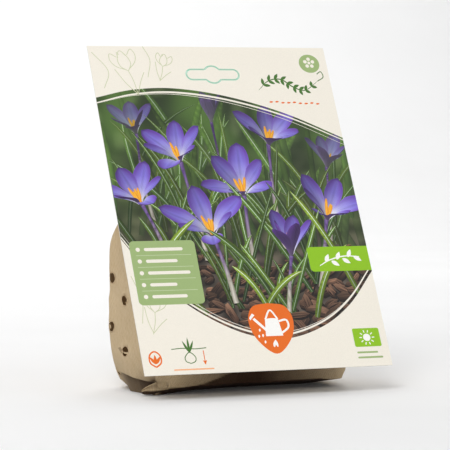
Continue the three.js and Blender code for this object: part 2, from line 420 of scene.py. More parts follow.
def background_tone(x, y):
    """The out-of-focus garden behind the flowers: greens above, brown soil below."""
    high = ramp(y, 66, 74)[..., None]
    patches = soft_field(x, y * 0.5, 3, 30)[..., None]
    glow = soft_field(x, y, 8, 22)[..., None]
    green = mix((30, 44, 24), (92, 126, 58), patches * 0.8 + 0.08)
    green = mix(green, (160, 182, 120), np.clip(glow - 0.74, 0, 1) * 1.5)
    soil = mix((30, 25, 24), (112, 98, 90), soft_field(x, y * 1.3, 5, 15)[..., None])
    return mix(soil, green, np.clip(high ** 0.7 * 0.9 + 0.1 * patches, 0, 1))


grid_x, grid_y = np.meshgrid(np.linspace(0, CARD_WIDTH, 62),
                             np.linspace(PICTURE_LOW, PICTURE_HIGH, 68))
lay_grid(np.stack([grid_x, grid_y], axis=-1), background_tone(grid_x, grid_y))

# %% [markdown]
# ### Grassy leaves
#
# A crocus leaf is a narrow band of dark green with a pale rib down its middle. It could be
# one flat green shape, but then it would look cut out of paper. So it is a ribbon with
# five tones across, and the far ones fade into the garden behind them.

# %% Leaves: striped ribbons that arch out of the soil
LEAF_STEPS, LEAF_ACROSS, FAR_LEAVES, HAZY = 15, [-1, -0.5, 0, 0.5, 1], 44, 0.4
LEAF_TONES = np.array([(26, 56, 26), (62, 108, 44), (58, 102, 44), (98, 148, 62),
                       (44, 84, 34)], float)
MIDRIB_TONE = (184, 204, 178)


def leaf_line(foot, height, lean, arch):
    """The middle of a grassy leaf: it rises from its foot and bends over by arch."""
    t = np.linspace(0, 1, LEAF_STEPS)[:, None]
    heading = math.radians(90) - lean - arch * t ** 1.6
    step = height / (LEAF_STEPS - 1)
    path = np.concatenate([np.cos(heading), np.sin(heading)], axis=1) * step
    path[0] = 0
    return np.asarray(foot, float) + np.cumsum(path, axis=0)


def lay_leaf(foot, height, lean, arch, width, light, haze=0.0, yellow=0.0):
    """Haze fades a leaf into the garden behind it, where its midrib no longer shows."""
    line = leaf_line(foot, height, lean, arch)
    t = np.linspace(0, 1, len(line))
    half = width / 2 * np.clip(1.25 * np.sin(math.pi * (0.12 + 0.88 * t)) ** 0.5, 0.06, 1)
    ends = (0.6 + 0.55 * t)[:, None, None]
    tones = LEAF_TONES[None] * ends * light + np.array([34, 22, -6.0]) * yellow
    tones[..., 0] += 18 * t[:, None] * light
    tones = np.clip(tones, 0, 255)
    middle = background_tone(line[:, 0], line[:, 1])[:, None]
    lay_ribbon(line, half, LEAF_ACROSS, mix(tones, middle, haze))
    if haze < HAZY:
        rib = np.broadcast_to(np.array(MIDRIB_TONE) * ends * light, (len(line), 2, 3))
        lay_ribbon(line, half * 0.11, [-1, 1], mix(np.clip(rib, 0, 250), middle, haze))


for _ in range(FAR_LEAVES):
    foot = (between(-10, 155), between(58, 92))
    lay_leaf(foot, between(50, 105), around(0, 0.3), around(0, 0.5), between(2.4, 5.0),
             between(0.7, 1.35), between(0.3, 0.7))
print("background and far leaves:", len(stack_points), "shapes")

# %% [markdown]
# ### Bark chips
#
# The crocuses come up through coarse bark. Noise would give mud rather than chips, so each
# chip is a ragged polygon with a lit upper edge, a shadow below it and a few cracks. The
# rows are laid from the back to the front, and the chips grow larger towards the reader.

# %% Bark: chips of many sizes, lit from above
BARK_DARK, BARK_PALE, BARK_TINT = (np.array([42, 28, 22.0]), np.array([178, 136, 108.0]),
                                   np.array([1, 0.7, 0.5]))
CHIP_SHADOW, CRACK = (24, 17, 16), (38, 26, 23)


def turned(points, turn):
    """Points turned anticlockwise about (0, 0)."""
    cos, sin = math.cos(turn), math.sin(turn)
    return np.asarray(points, float) @ np.array([[cos, sin], [-sin, cos]])


def lay_chip(x, y, length, width, turn, light):
    """One bark chip: a ragged polygon fanned from its middle, with a few long cracks."""
    count = int(picture_random.integers(7, 11))
    angle = np.sort(np.linspace(0, math.tau, count, endpoint=False)
                    + between(-0.25, 0.25, count))
    reach = between(0.78, 1.1, count)
    rim = turned(np.stack([np.cos(angle) * reach * length / 2,
                           np.sin(angle) * reach * width / 2], 1), turn)
    lit = 0.5 + 0.5 * rim[:, 1] / max(np.abs(rim[:, 1]).max(), 0.1)
    span, tint = BARK_PALE - BARK_DARK, between(-12, 12) * BARK_TINT
    tones = (BARK_DARK + span * (0.02 + 0.72 * lit[:, None] ** 1.5) + tint) * light
    heart = ((BARK_DARK + span * 0.42) + tint) * light
    centre = np.array([x, y])
    lay_patch(centre + rim * 1.1 + (0.35, -0.9), CHIP_SHADOW)
    faces = [[0, i + 1, (i + 1) % count + 1] for i in range(count)]
    lay(np.concatenate([[centre], centre + rim]), faces,
        np.clip(np.concatenate([[heart], tones]), 0, 255))
    for _ in range(int(picture_random.integers(3, 7))):
        shift = between(-0.36, 0.36) * width
        reach = between(0.2, 0.42) * length
        slide = between(-0.1, 0.1) * length
        crack = turned([(slide - reach, shift), (slide, shift + around(0, 0.2)),
                        (slide + reach, shift * 0.8)], turn) + centre
        tone = CRACK if picture_random.random() < 0.6 else np.minimum(heart * 1.45, 235)
        lay_stroke(crack, between(0.22, 0.5), tone, 3, taper=0.9)


def soil_top(x):
    return 62 + 5 * math.sin(x / 19) + 3 * math.sin(x / 7 + 1)


BARK_ROWS = 13
for depth in np.linspace(0, 1, BARK_ROWS):
    size = 4.0 + 7.5 * depth
    for x in np.arange(-4, 150, size * 1.12):
        x += between(-0.5, 0.5) * size
        y = soil_top(x) + 3 - (soil_top(x) - 14) * depth + between(-1.6, 1.6)
        lay_chip(x, y, size * between(0.9, 1.9), size * between(0.42, 0.8), around(0, 0.5),
                 between(0.5, 1.12))
print("bark laid:", len(stack_points), "shapes")

# %% [markdown]
# ### Flowers in space
#
# A petal follows a simple rule: its middle line leaves the throat almost upright and leans
# out by a given curl, its width swells and then runs to a point, and its edges are cupped
# inwards. Six of them, three outer and three inner, make a flower. Turning each corner
# into view space gives its place on the card, its depth and its light in one step.

# %% A petal and a flower
LIGHT = np.array([-0.42, 0.70, 0.58])
PETAL_ROWS, PETAL_COLUMNS = 12, 11
PETAL_OUTLINE = ((0, 0.15, 0.35, 0.58, 0.78, 0.91, 0.975, 1),
                 (0.15, 0.3, 0.68, 1, 0.9, 0.6, 0.3, 0))
THROAT, PALE, MIDDLE, TIP = (250, 248, 252), (176, 174, 230), (124, 112, 204), (98, 62, 156)
BACK_BASE, BACK_MIDDLE, BACK_TIP = (168, 140, 196), (142, 104, 198), (108, 62, 166)


def petal_surface(length, width, lean, curl, cup, turn, wave):
    """Corners of one petal in the flower's own space, where z runs along its axis."""
    u = np.linspace(0, 1, PETAL_ROWS)
    v = np.linspace(-1, 1, PETAL_COLUMNS)
    slope = lean + curl * np.sin(np.minimum(u * 1.25, 1) * math.pi / 2) - 0.35 * u ** 4
    step = length / (PETAL_ROWS - 1)
    out = 0.5 + np.cumsum(np.sin(slope)) * step
    high = np.cumsum(np.cos(slope)) * step
    half = width / 2 * np.interp(u, *PETAL_OUTLINE)
    lift = cup * half[:, None] * v[None] ** 2 + wave * half[:, None] * np.sin(
        5 * u[:, None] + 2 * v[None]) * np.abs(v[None])
    radial = out[:, None] - np.cos(slope)[:, None] * lift
    axial = high[:, None] + np.sin(slope)[:, None] * lift
    side = half[:, None] * v[None] * (1 - 0.12 * cup * v[None] ** 2)
    cos, sin = math.cos(turn), math.sin(turn)
    return np.stack([radial * cos - side * sin, radial * sin + side * cos, axial], axis=-1)


# a flower's petals share their heights, so it leaves room in the stack below and above it
DEPTH_STEP, DEPTH_MIDDLE, DEPTH_ROOM = 0.15, 10, 20
STAMENS = 4
STAMEN_SWELL = np.array([0.35, 0.5, 1.0, 1.1, 1.0, 0.5])
STAMEN_TONES = np.array([(222, 126, 20), (254, 198, 66), (240, 154, 30)], float)
petal_owners = set()


def to_view(points, tilt, roll):
    """Flower space to card space: tilt brings its open top forwards, roll turns it."""
    x, y, z = points[..., 0], points[..., 1], points[..., 2]
    up = z * math.cos(tilt) + y * math.sin(tilt)
    near = z * math.sin(tilt) - y * math.cos(tilt)
    cos, sin = math.cos(roll), math.sin(roll)
    return np.stack([x * cos - up * sin, x * sin + up * cos, near], axis=-1)


def lit_petal(space, tilt, roll):
    """View-space corners of a petal and their colours, from the light and the veins."""
    view = to_view(space, tilt, roll)
    along, across = np.gradient(view, axis=0), np.gradient(view, axis=1)
    normal = np.cross(along, across)
    normal /= np.maximum(np.linalg.norm(normal, axis=-1, keepdims=True), 1e-9)
    inside = normal[..., 2:3] > 0
    facing = np.where(inside, normal, -normal)
    u = np.linspace(0, 1, PETAL_ROWS)[:, None, None]
    v = np.linspace(-1, 1, PETAL_COLUMNS)[None, :, None]
    edge = np.clip(np.abs(v) * 0.55 + u * 0.75 - 0.62, 0, 1)
    front = mix(PALE, MIDDLE, ramp(u, 0.2, 0.45))
    front = mix(front, TIP, np.clip(edge * 2.1, 0, 1))
    front = mix(front, THROAT, np.clip(1.25 - u / 0.26, 0, 1))
    back = mix(mix(BACK_BASE, BACK_MIDDLE, np.clip(u * 2.5, 0, 1)), BACK_TIP, u ** 2)
    tone = np.where(inside, front, back)
    stripe = (np.arange(PETAL_COLUMNS) % 2)[None, :, None]
    veins = 1 - np.where(inside, 0.05, 0.13) * stripe * np.clip(u * 3, 0, 1)
    rim = 1 + 0.1 * np.abs(v) ** 8
    spine = 1 - 0.12 * bell(v, 0, 0.14) * np.clip(u * 2, 0, 1)
    light = np.clip(facing @ LIGHT, -0.3, 1)[..., None]
    shade = (0.66 + 0.5 * light) * (0.86 + 0.14 * np.clip(u * 2.2, 0, 1))
    return view, np.clip(tone * veins * rim * spine * shade, 0, 252)


def petals(size, opening, turn):
    """Six petals in two rings; opening is 0 for a bud and 1 for a star."""
    for ring in range(2):
        for i in range(3):
            angle = turn + math.tau * (i / 3 + ring / 6) + around(0, 0.06)
            yield petal_surface(
                size * (1.06 - 0.08 * ring) * between(0.95, 1.05),
                size * (0.47 - 0.03 * ring) * between(0.92, 1.08),
                (0.12 + 0.3 * opening) * (1 - 0.3 * ring),
                (0.06 + 0.85 * opening) * (1 - 0.2 * ring) + 0.12 * around() * opening
                - 0.12 * (1 - opening),
                0.5 - 0.25 * opening, angle, between(-0.08, 0.08))


def stamen(size, turn, index, tilt, roll):
    """View-space corners of one orange stamen, as a band that faces the reader."""
    angle = turn + math.tau * index / STAMENS + 0.3
    lean = 0.1 + 0.09 * (index % 2)
    t = np.linspace(0.12, 0.52 + 0.08 * (index % 2), len(STAMEN_SWELL))[:, None] * size
    centre = np.concatenate([t * math.sin(lean) * math.cos(angle),
                             t * math.sin(lean) * math.sin(angle), t * math.cos(lean)], 1)
    view = to_view(centre[:, None].repeat(3, axis=1), tilt, roll)
    swell = STAMEN_SWELL[:, None] * size * 0.03
    side = across_line(view[:, 0, :2])
    view[..., :2] += side[:, None] * (swell * np.array([[-1, 0, 1]]))[..., None]
    return view


def lay_flower(x, y, size, opening, tilt, roll, turn, haze):
    """Lay a crocus whose throat stands at (x, y)."""
    global owners
    base = owners
    layers = [lit_petal(space, tilt, roll) for space in petals(size, opening, turn)]
    stamen_tones = np.broadcast_to(STAMEN_TONES, (len(STAMEN_SWELL), 3, 3))
    layers += [(stamen(size, turn, i, tilt, roll), stamen_tones) for i in range(STAMENS)]
    for view, tone in layers:
        spot = view[..., :2] + (x, y)
        if haze:
            tone = mix(tone, background_tone(spot[..., 0], spot[..., 1]), haze)
        petal_owners.add(owners)
        lay_grid(spot, tone, (base - owners) + DEPTH_MIDDLE + view[..., 2] * DEPTH_STEP)
    owners += DEPTH_ROOM


TUBE_ACROSS = [-1, -0.3, 0.2, 1]
TUBE_LOW = np.array([(118, 112, 100), (196, 192, 176), (216, 212, 200), (146, 138, 124)], float)
TUBE_HIGH = np.array([(66, 44, 92), (122, 98, 158), (136, 110, 170), (82, 58, 116)], float)


def lay_tube(x, y, foot, width, light):
    """The slim tube under a flower: pale at its foot in the soil, purple at the throat."""
    bend = between(-2.5, 2.5)
    line = smooth_line([foot, ((foot[0] + x) / 2 + bend, (foot[1] + y) / 2), (x, y + 1.5)], 8)
    t = np.linspace(0, 1, len(line))[:, None]
    half = width * (0.62 - 0.3 * t + 0.55 * np.clip(t - 0.85, 0, 1) / 0.15 * 0.5)[:, 0]
    purple = ramp(t, 0.35, 0.5)[..., None]
    lay_ribbon(line, half, TUBE_ACROSS, np.clip(mix(TUBE_LOW, TUBE_HIGH, purple) * light, 0, 250))


print("a flower has 6 petals of", (PETAL_ROWS - 1) * (PETAL_COLUMNS - 1), "cells")

# %% [markdown]
# ### The planting
#
# Overlap gives the picture its depth. The clumps are laid from the far ones to the near
# ones: first their leaves, then the tube that carries the flower, then the flower itself.
# A few free leaves and chips come last, in front of all the others.

# %% Lay leaves and flowers from the back to the front
# x, y of the throat, size, opening, tilt, roll, turn, x and y of the foot, haze
FLOWERS = [(20, 143, 21, 0.7, 0.5, 0.15, 0.4, 22, 84, 0.34),
           (66, 150, 19, 0.3, 0.3, -0.05, 0.2, 68, 88, 0.34),
           (131, 121, 21, 0.6, 0.5, -0.2, 1.1, 124, 76, 0.30),
           (98, 136, 26, 0.85, 0.72, -0.2, 0.85, 95, 72, 0.06),
           (43, 125, 27, 0.85, 0.66, 0.22, 0.1, 48, 66, 0.0),
           (16, 99, 26, 0.8, 0.62, 0.32, 0.75, 26, 56, 0.0),
           (77, 104, 29, 0.9, 0.78, 0.08, 1.35, 76, 54, 0.0),
           (124, 88, 28, 0.85, 0.68, -0.3, 0.35, 112, 48, 0.0),
           (54, 79, 31, 0.95, 0.76, 0.16, 0.55, 60, 40, 0.0),
           (98, 66, 27, 0.55, 0.45, -0.1, 0.1, 90, 34, 0.0)]
LEAVES_PER_FLOWER = 7
for x, y, size, opening, tilt, roll, turn, foot_x, foot_y, haze in FLOWERS:
    for k in range(LEAVES_PER_FLOWER):
        side = 1 if k % 2 else -1
        lay_leaf((foot_x + between(-6, 6), foot_y + between(-5, 4)), between(34, 84),
                 side * between(0.0, 0.5), side * between(-0.2, 0.8), between(2.0, 3.3),
                 between(0.75, 1.25), haze, between(0, 0.7))
    lay_tube(x, y, (foot_x, foot_y), size * 0.085, 1 - 0.4 * haze)
    lay_flower(x, y, size, opening, tilt, roll, turn, haze)
for foot_x, foot_y, height, lean, arch in ((10, 46, 58, 0.45, 0.5), (42, 34, 50, -0.6, -0.5),
                                           (72, 28, 44, 0.5, 0.7), (106, 30, 52, 0.3, 0.6),
                                           (134, 44, 70, -0.3, -0.3), (80, 28, 40, -0.2, -0.7)):
    lay_leaf((foot_x, foot_y), height, lean, arch, 3.6, 1.25, 0.0, 1.0)
for x in np.arange(-2, 150, 7.5):
    if x < 30 or x > 116 or picture_random.random() < 0.5:
        continue
    lay_chip(x, 24 + between(-4, 8), between(8, 15), between(4, 6), around(0, 0.5), 1.0)
print("flowers and leaves laid:", len(stack_points), "shapes")

# %% [markdown]
# ### The card's frame and signs
#
# Above and below the picture the card is cream, with curved edges and thin rings. The
# signs are generic: a leafy flourish, a dotted badge, a leaf tag, a panel of bars, an
# orange badge with a watering can, a planting guide and a sun. Each one is a handful of
# patches and pen strokes, so small helpers draw discs, rounded boxes and leaves.

# %% Cream above and below, with rings along the arcs
WHITE, LIME, SAGE, PALE_SAGE = (252, 251, 247), (143, 195, 24), (158, 181, 120), (198, 212, 170)
ORANGE, MINT, DEEP_GREEN = (233, 109, 25), (150, 214, 186), (70, 115, 45)
OLIVE_LINE, PALE_ORANGE, PEN = (205, 208, 172), (244, 176, 128), 0.42

first_frame_owner = owners
lay_patch([*TOP_ARC, (CARD_WIDTH, CARD_HEIGHT), (0, CARD_HEIGHT)], CREAM)
lay_patch([*LOW_ARC, (CARD_WIDTH, 0), (0, 0)], CREAM)
for arc, inward in ((TOP_ARC, -1), (LOW_ARC, 1)):
    for gap, width, tilt in ((2.3, 1.15, 0.012), (4.0, 0.3, -0.006)):
        line = arc + np.stack([0 * arc[:, 0], inward * gap + (arc[:, 0] - 72) * tilt], axis=1)
        lay_stroke(line, width, CREAM, 1, taper=0.5)
print("cream frame laid:", len(stack_points), "shapes")


def disc(x, y, radius, level, count=40, squash=1.0):
    angle = np.linspace(0, math.tau, count, endpoint=False)
    rim = np.stack([radius * np.cos(angle), radius * squash * np.sin(angle)], axis=1)
    lay_patch(rim + (x, y), level)


def rounded_box(x0, y0, x1, y1, radius, level, open_side=None):
    """A filled box with round corners. open_side leaves the corners on that side square."""
    rim = []
    for cx, cy, start, side in ((x1 - radius, y0 + radius, -90, "right"),
                                (x1 - radius, y1 - radius, 0, "right"),
                                (x0 + radius, y1 - radius, 90, "left"),
                                (x0 + radius, y0 + radius, 180, "left")):
        if side == open_side:
            rim.append((x1 if side == "right" else x0, y0 if start in (-90, 180) else y1))
            continue
        for angle in np.radians(np.linspace(start, start + 90, 9)):
            rim.append((cx + radius * math.cos(angle), cy + radius * math.sin(angle)))
    lay_patch(rim, level)


def leaf_shape(x, y, length, width, turn, level):
    """A pointed leaf from its stalk end."""
    t = np.linspace(0, 1, 12)
    half = width / 2 * np.sin(math.pi * t ** 0.85) ** 0.9
    rim = np.concatenate([np.stack([t * length, half], 1),
                          np.stack([t * length, -half], 1)[::-1][1:-1]])
    lay_patch(turned(rim, turn) + (x, y), level)


def loop(knots, width, level):
    """A closed pen line through the knots."""
    line = smooth_line([*knots, knots[0]], 6)
    side = across_line(line) * width / 2
    for a, b, c, d in zip(line - side, line + side, (line + side)[1:], (line - side)[1:]):
        lay([a, b, c, d], [[0, 1, 2], [0, 2, 3]], level)


# %% Header: line drawings, leafy flourish and dotted badge
def crocus_drawing(x, y, scale, turn):
    """An open crocus in pen lines: three petals in front, two behind, a stem, two leaves."""
    def pen(knots, width=PEN, steps=6):
        lay_stroke(turned(np.array(knots) * scale, turn) + (x, y), width, OLIVE_LINE, steps)

    for knots in ([(0, 0), (-3.4, 4), (-3.2, 9), (-0.2, 13.5), (2.8, 9), (3.2, 4), (0, 0)],
                  [(-1, 1), (-6, 4.5), (-8, 9), (-6.6, 13), (-3.4, 10)],
                  [(1, 1), (6, 4.5), (8, 9), (6.6, 13), (3.2, 10)]):
        pen(knots)
    for knots in ([(-2.6, 9.5), (-2.2, 13), (-1.2, 11.0)], [(2.4, 9.5), (0.6, 13), (1.6, 11.2)]):
        pen(knots, PEN * 0.7, 4)
    for knots in ([(0, 0), (0.4, -7), (-0.6, -16)], [(-0.4, -15), (-4.5, -7), (-7.5, 3)],
                  [(-0.2, -15), (4.4, -8), (8.6, -3)]):
        pen(knots)


crocus_drawing(22, 184, 1.0, 0.25)
crocus_drawing(43, 187, 0.62, -0.3)
lay_stroke([(2, 196), (10, 184), (6, 173)], PEN, OLIVE_LINE)
lay_stroke([(33, 200), (36, 191), (33, 180)], PEN, OLIVE_LINE)
crocus_drawing(12, 36, 0.8, -0.2)
lay_stroke([(2, 58), (6, 44), (4, 30)], PEN, OLIVE_LINE)

flourish = smooth_line([(99, 172), (106, 178), (114, 179), (121, 174), (128, 172), (137, 178)], 8)
lay_stroke(flourish, 0.8, DEEP_GREEN, 2, taper=0.8)
for k, at in enumerate(range(4, len(flourish) - 3, 4)):
    heading = math.atan2(*(flourish[at + 1] - flourish[at])[::-1])
    for side in (1, -1):
        leaf_shape(*flourish[at], 4.6 - 0.12 * k, 1.9, heading + side * 0.85, DEEP_GREEN)
lay_stroke([(137, 178), (141.0, 180.6), (140.2, 184.2), (137.4, 182.6)], 0.55, DEEP_GREEN)
for k in range(9):
    leaf_shape(104 + 3.6 * k, 164.2 - 0.14 * k + 0.3 * math.sin(k * 2.0), 2.5, 1.1, 0.1, ORANGE)
disc(134, 189.5, 6.4, SAGE, squash=0.94)
for k in range(5):
    angle = math.pi / 2 + math.tau * k / 5
    disc(134 + 2.5 * math.cos(angle), 190.0 + 2.5 * math.sin(angle), 1.15, CREAM, 18)
disc(134, 190.0, 0.95, CREAM, 16)
print("header laid:", len(stack_points), "shapes")

# %% Tag at the right, panel of bars at the left
rounded_box(108, 57.5, 145, 72.5, 2.2, LIME, open_side="right")
lay_stroke([(114, 61), (121, 64.5), (130, 66.5), (139, 66)], 0.75, WHITE, 8, taper=0.4)
for at, side in ((118, 1), (121.5, -1), (125, 1), (128.5, -1), (132, 1), (135.5, -1)):
    leaf_shape(at, 63.1 + (at - 118) * 0.19, 5.4, 2.5, 0.25 + side * 0.85, WHITE)
rounded_box(4, 40.5, 42, 78.5, 2.6, SAGE)
for k, reach in enumerate((0.86, 0.7, 0.94, 0.6, 0.78)):
    level = 73.4 - 7.0 * k
    disc(8.6, level, 1.25, CREAM, 18)
    rounded_box(12.2, level - 0.95, 12.2 + 26 * reach, level + 0.95, 0.9, CREAM)
    if k < 4:
        lay_patch([(7, level - 3.65), (39, level - 3.65), (39, level - 3.35), (7, level - 3.35)],
                  PALE_SAGE)
print("tag and panel laid:", len(stack_points), "shapes")

# %% Orange badge with a watering can, and the signs along the lower edge
lay_patch(smooth_line([(78, 39.5), (87.5, 37.5), (91.2, 29), (88, 18), (78, 9.5), (68, 18),
                       (64.8, 29), (68.5, 37.5), (78, 39.5)], 8)[:-1], ORANGE)
lay_patch([(73.4, 20), (83.6, 20), (82.4, 29.5), (74.6, 29.5)], WHITE)
disc(78.5, 29.5, 3.9, WHITE, squash=0.26)
lay_patch([(74.2, 22.6), (73.9, 25.2), (68.6, 31.0), (67.4, 30.0)], WHITE)
lay_patch([(66.0, 29.6), (69.0, 32.6), (67.6, 33.6), (65.5, 30.9)], WHITE)
lay_stroke([(82.6, 28.6), (87.0, 29.2), (87.6, 25), (83.2, 21.6)], 1.15, WHITE, 8)
lay_stroke([(74.8, 29.8), (78.5, 35.2), (82.2, 29.8)], 1.0, WHITE, 8)
for x, y in ((70.6, 24.6), (71.9, 21.4), (69.6, 21.0), (72.6, 17.6)):
    leaf_shape(x, y, 2.0, 1.1, -1.75, WHITE)
for x, y, length, lean in ((77, 13.4, 4.2, 1.3), (79.2, 13.4, 4.6, 1.75)):
    leaf_shape(x, y, length, 1.5, lean, WHITE)

rounded_box(125, 11.5, 141, 22.5, 1.0, LIME)
disc(133, 17, 2.2, WHITE, 24)
for k in range(10):
    angle = math.tau * k / 10
    lay_stroke([(133 + reach * math.cos(angle), 17 + reach * math.sin(angle))
                for reach in (3.0, 4.5)], 0.6, WHITE)
for y, reach in ((8.2, 12.5), (5.2, 15)):
    rounded_box(125.4, y - 0.55, 125.4 + reach, y + 0.55, 0.5, SAGE)

lay_stroke([(17.5, 14.5), (24, 14.9), (31, 14.3), (37.5, 14.7)], 0.5, DEEP_GREEN)
loop([(27.5, 6.0), (24.9, 7.2), (24.6, 9.8), (27.5, 12.4), (30.4, 9.8), (30.1, 7.2)], 0.5,
     DEEP_GREEN)
for turn in (1.15, 1.57, 2.0):
    leaf_shape(27.5, 12.2, 9.0 - 3 * abs(turn - 1.57), 1.3, turn, DEEP_GREEN)
lay_stroke([(35.5, 13.2), (35.5, 6.6)], 0.5, ORANGE)
lay_patch([(34.3, 7.4), (35.5, 4.9), (36.7, 7.4)], ORANGE)
rounded_box(17, 2.2, 40, 3.0, 0.35, PALE_ORANGE)
loop([(7.5, 4.6), (4.4, 7.2), (4.6, 11.4), (7.5, 13.6), (10.4, 11.4), (10.6, 7.2)], 0.85, ORANGE)
for k in range(3):
    leaf_shape(7.5, 6.4, 5.4, 1.7, 1.57 + 0.62 * (k - 1), ORANGE)
print("badge and lower signs laid:", len(stack_points), "shapes")

# %% [markdown]
# ### The hang slot
#
# The slot is only scored: four narrow cuts with nicks of board between them, along a thin
# mint line. The cuts are real holes through the board, as in the CAD, so the same outline
# is restated here and laid last as cut-outs.

# %% Score lines of the hang slot
SLOT_LENGTH, SLOT_HEIGHT, SLOT_BUMP, SLOT_DROP = 32.0, 6.6, 11.0, 18.0
SCORE_WIDTH, SCORE_NICK, SCORE_POINTS = 0.2, 1.2, 16
BORDER_HALF, BORDER_POINTS = 0.48, 97


def slot_outline():
    """Dense points round the slot, starting where the CAD's path starts, lower right."""
    half, bump = SLOT_HEIGHT / 2, SLOT_BUMP / 2
    end = SLOT_LENGTH / 2 - half
    start = math.asin(half / bump)
    rim = []
    for cx, radius, a, b in ((end, half, -math.pi / 2, math.pi / 2),
                             (0, bump, start, math.pi - start),
                             (-end, half, math.pi / 2, 1.5 * math.pi),
                             (0, bump, math.pi + start, math.tau - start)):
        for angle in np.linspace(a, b, 25):
            rim.append((cx + radius * math.cos(angle), radius * math.sin(angle)))
    return np.array([*rim, rim[0]]) + (CARD_WIDTH / 2, CARD_HEIGHT - SLOT_DROP)


def along_outline(rim, positions):
    """Points and unit tangents at fractions of a closed outline's length."""
    length = np.concatenate([[0], np.cumsum(np.linalg.norm(np.diff(rim, axis=0), axis=1))])
    spots, ahead = (np.stack([np.interp((at % 1) * length[-1], length, rim[:, k])
                              for k in (0, 1)], 1) for at in (positions, positions + 1e-3))
    heading = ahead - spots
    return spots, heading / np.linalg.norm(heading, axis=1, keepdims=True), length[-1]


def band_sides(positions, half_width):
    """Both sides of a band that follows the slot, and the length of the whole outline."""
    spots, heading, length = along_outline(slot_outline(), positions)
    side = np.stack([heading[:, 1], -heading[:, 0]], 1) * half_width
    return spots + side, spots - side, length


outer, inner, slot_length = band_sides(np.linspace(0, 1, BORDER_POINTS), BORDER_HALF)
lay_grid(np.stack([outer, inner], axis=1),
         np.tile(np.array(MINT, float), (BORDER_POINTS, 2, 1)))
cut_outlines, cut_owners = [], set()
for cut in range(4):
    outer, inner, _ = band_sides(
        np.linspace((cut + 0.13) / 4, (cut + 1.13) / 4 - SCORE_NICK / slot_length, SCORE_POINTS),
        SCORE_WIDTH / 2)
    cut_outlines.append(np.concatenate([outer, inner[::-1]]))
    cut_owners.add(owners)
    lay_patch(cut_outlines[-1], (0, 0, 0))
print("the stack holds", len(stack_points), "shapes")

# %% [markdown]
# ### From print to board
#
# One triangulation turns all the shapes into the card's front. Its open edges, round the
# sheet and round the score lines, are then walled, and a plain back closes the board.

# %% Cut the print into one sheet and close it into a board
BOARD = (236, 234, 228)


def open_edges(faces):
    """Directed edges that only one face uses."""
    edges = {(a, b) for f in faces for a, b in zip(f, f[1:] + f[:1])}
    return sorted((a, b) for a, b in edges if (b, a) not in edges)


stack_spots = np.concatenate(stack_points)
stack_cells = np.concatenate(stack_faces)
stack_inks = np.concatenate(stack_levels)
cell_owner = np.concatenate(stack_owners)
stack_tree = BVHTree.FromPolygons([Vector(p) for p in stack_spots.tolist()],
                                  stack_cells.tolist(), all_triangles=True)
CEILING, DOWN = owners + 50.0, Vector((0, 0, -1))


def top_cells(spots):
    """For each point on the card, the stack's uppermost cell and its height."""
    cells, heights = np.empty(len(spots), int), np.empty(len(spots))
    for i, (x, y) in enumerate(spots.tolist()):
        hit, _, cell, _ = stack_tree.ray_cast(Vector((x, y, CEILING)), DOWN)
        cells[i], heights[i] = (0, 0.0) if cell is None else (cell, hit.z)
    return cells, heights


def inks_at(spots, cells):
    """Colours of the given cells at the given points."""
    base, tone = stack_spots[stack_cells[cells]][..., :2], stack_inks[stack_cells[cells]]
    ab, ac, rel = base[:, 1] - base[:, 0], base[:, 2] - base[:, 0], spots - base[:, 0]
    det = ab[:, 0] * ac[:, 1] - ab[:, 1] * ac[:, 0]
    det = np.where(np.abs(det) < 1e-9, 1e-9, det)
    s = np.clip((rel[:, 0] * ac[:, 1] - rel[:, 1] * ac[:, 0]) / det, 0, 1)[:, None]
    t = np.clip((ab[:, 0] * rel[:, 1] - ab[:, 1] * rel[:, 0]) / det, 0, 1)[:, None]
    return np.clip(tone[:, 0] * (1 - s - t) + tone[:, 1] * s + tone[:, 2] * t, 0, 255)


RIM_STEP, RIM_PROBE, FOLD_HEIGHT, FILL_STEP, CORNER_INSET = 1.6, 0.05, 0.05, 0.75, 0.06


def visible_rims():
    """Short pieces of the shapes' rims that show on the finished print."""
    ends = stack_spots[np.concatenate(rim_pairs)][..., :2]
    lengths = np.linalg.norm(ends[:, 1] - ends[:, 0], axis=1)
    pieces = []
    for (a, b), length in zip(ends, lengths):
        if length < 1e-3:
            continue
        marks = a + (b - a) * np.linspace(0, 1, int(length / RIM_STEP) + 2)[:, None]
        pieces.extend(zip(marks, marks[1:]))
    pieces = np.array(pieces)
    middle = pieces.mean(axis=1)
    on_card = np.all((middle > 0) & (middle < (CARD_WIDTH, CARD_HEIGHT)), axis=1)
    pieces, middle = pieces[on_card], middle[on_card]
    along = pieces[:, 1] - pieces[:, 0]
    side = np.column_stack([-along[:, 1], along[:, 0]])
    side *= RIM_PROBE / np.linalg.norm(side, axis=1, keepdims=True)
    left, left_height = top_cells(middle + side)
    right, right_height = top_cells(middle - side)
    shows = ((cell_owner[left] != cell_owner[right])
             | (np.abs(left_height - right_height) > FOLD_HEIGHT))
    return np.clip(pieces[shows], 0, (CARD_WIDTH, CARD_HEIGHT))


def filling_points():
    """Extra points inside the picture, so that tones can change within a shape."""
    x, y = np.meshgrid(np.arange(FILL_STEP, CARD_WIDTH, FILL_STEP),
                       np.arange(PICTURE_LOW, PICTURE_HIGH, FILL_STEP))
    index = np.add.outer(np.arange(x.shape[0]) % 2 * 2, np.arange(x.shape[1]) % 2)
    spots, parity = np.stack([x.ravel(), y.ravel()], axis=1), index.ravel()
    owner = cell_owner[top_cells(spots)[0]]
    fine = np.isin(owner, list(petal_owners))
    plain = owner >= first_frame_owner
    return spots[(fine | (parity == 0)) & ~plain]


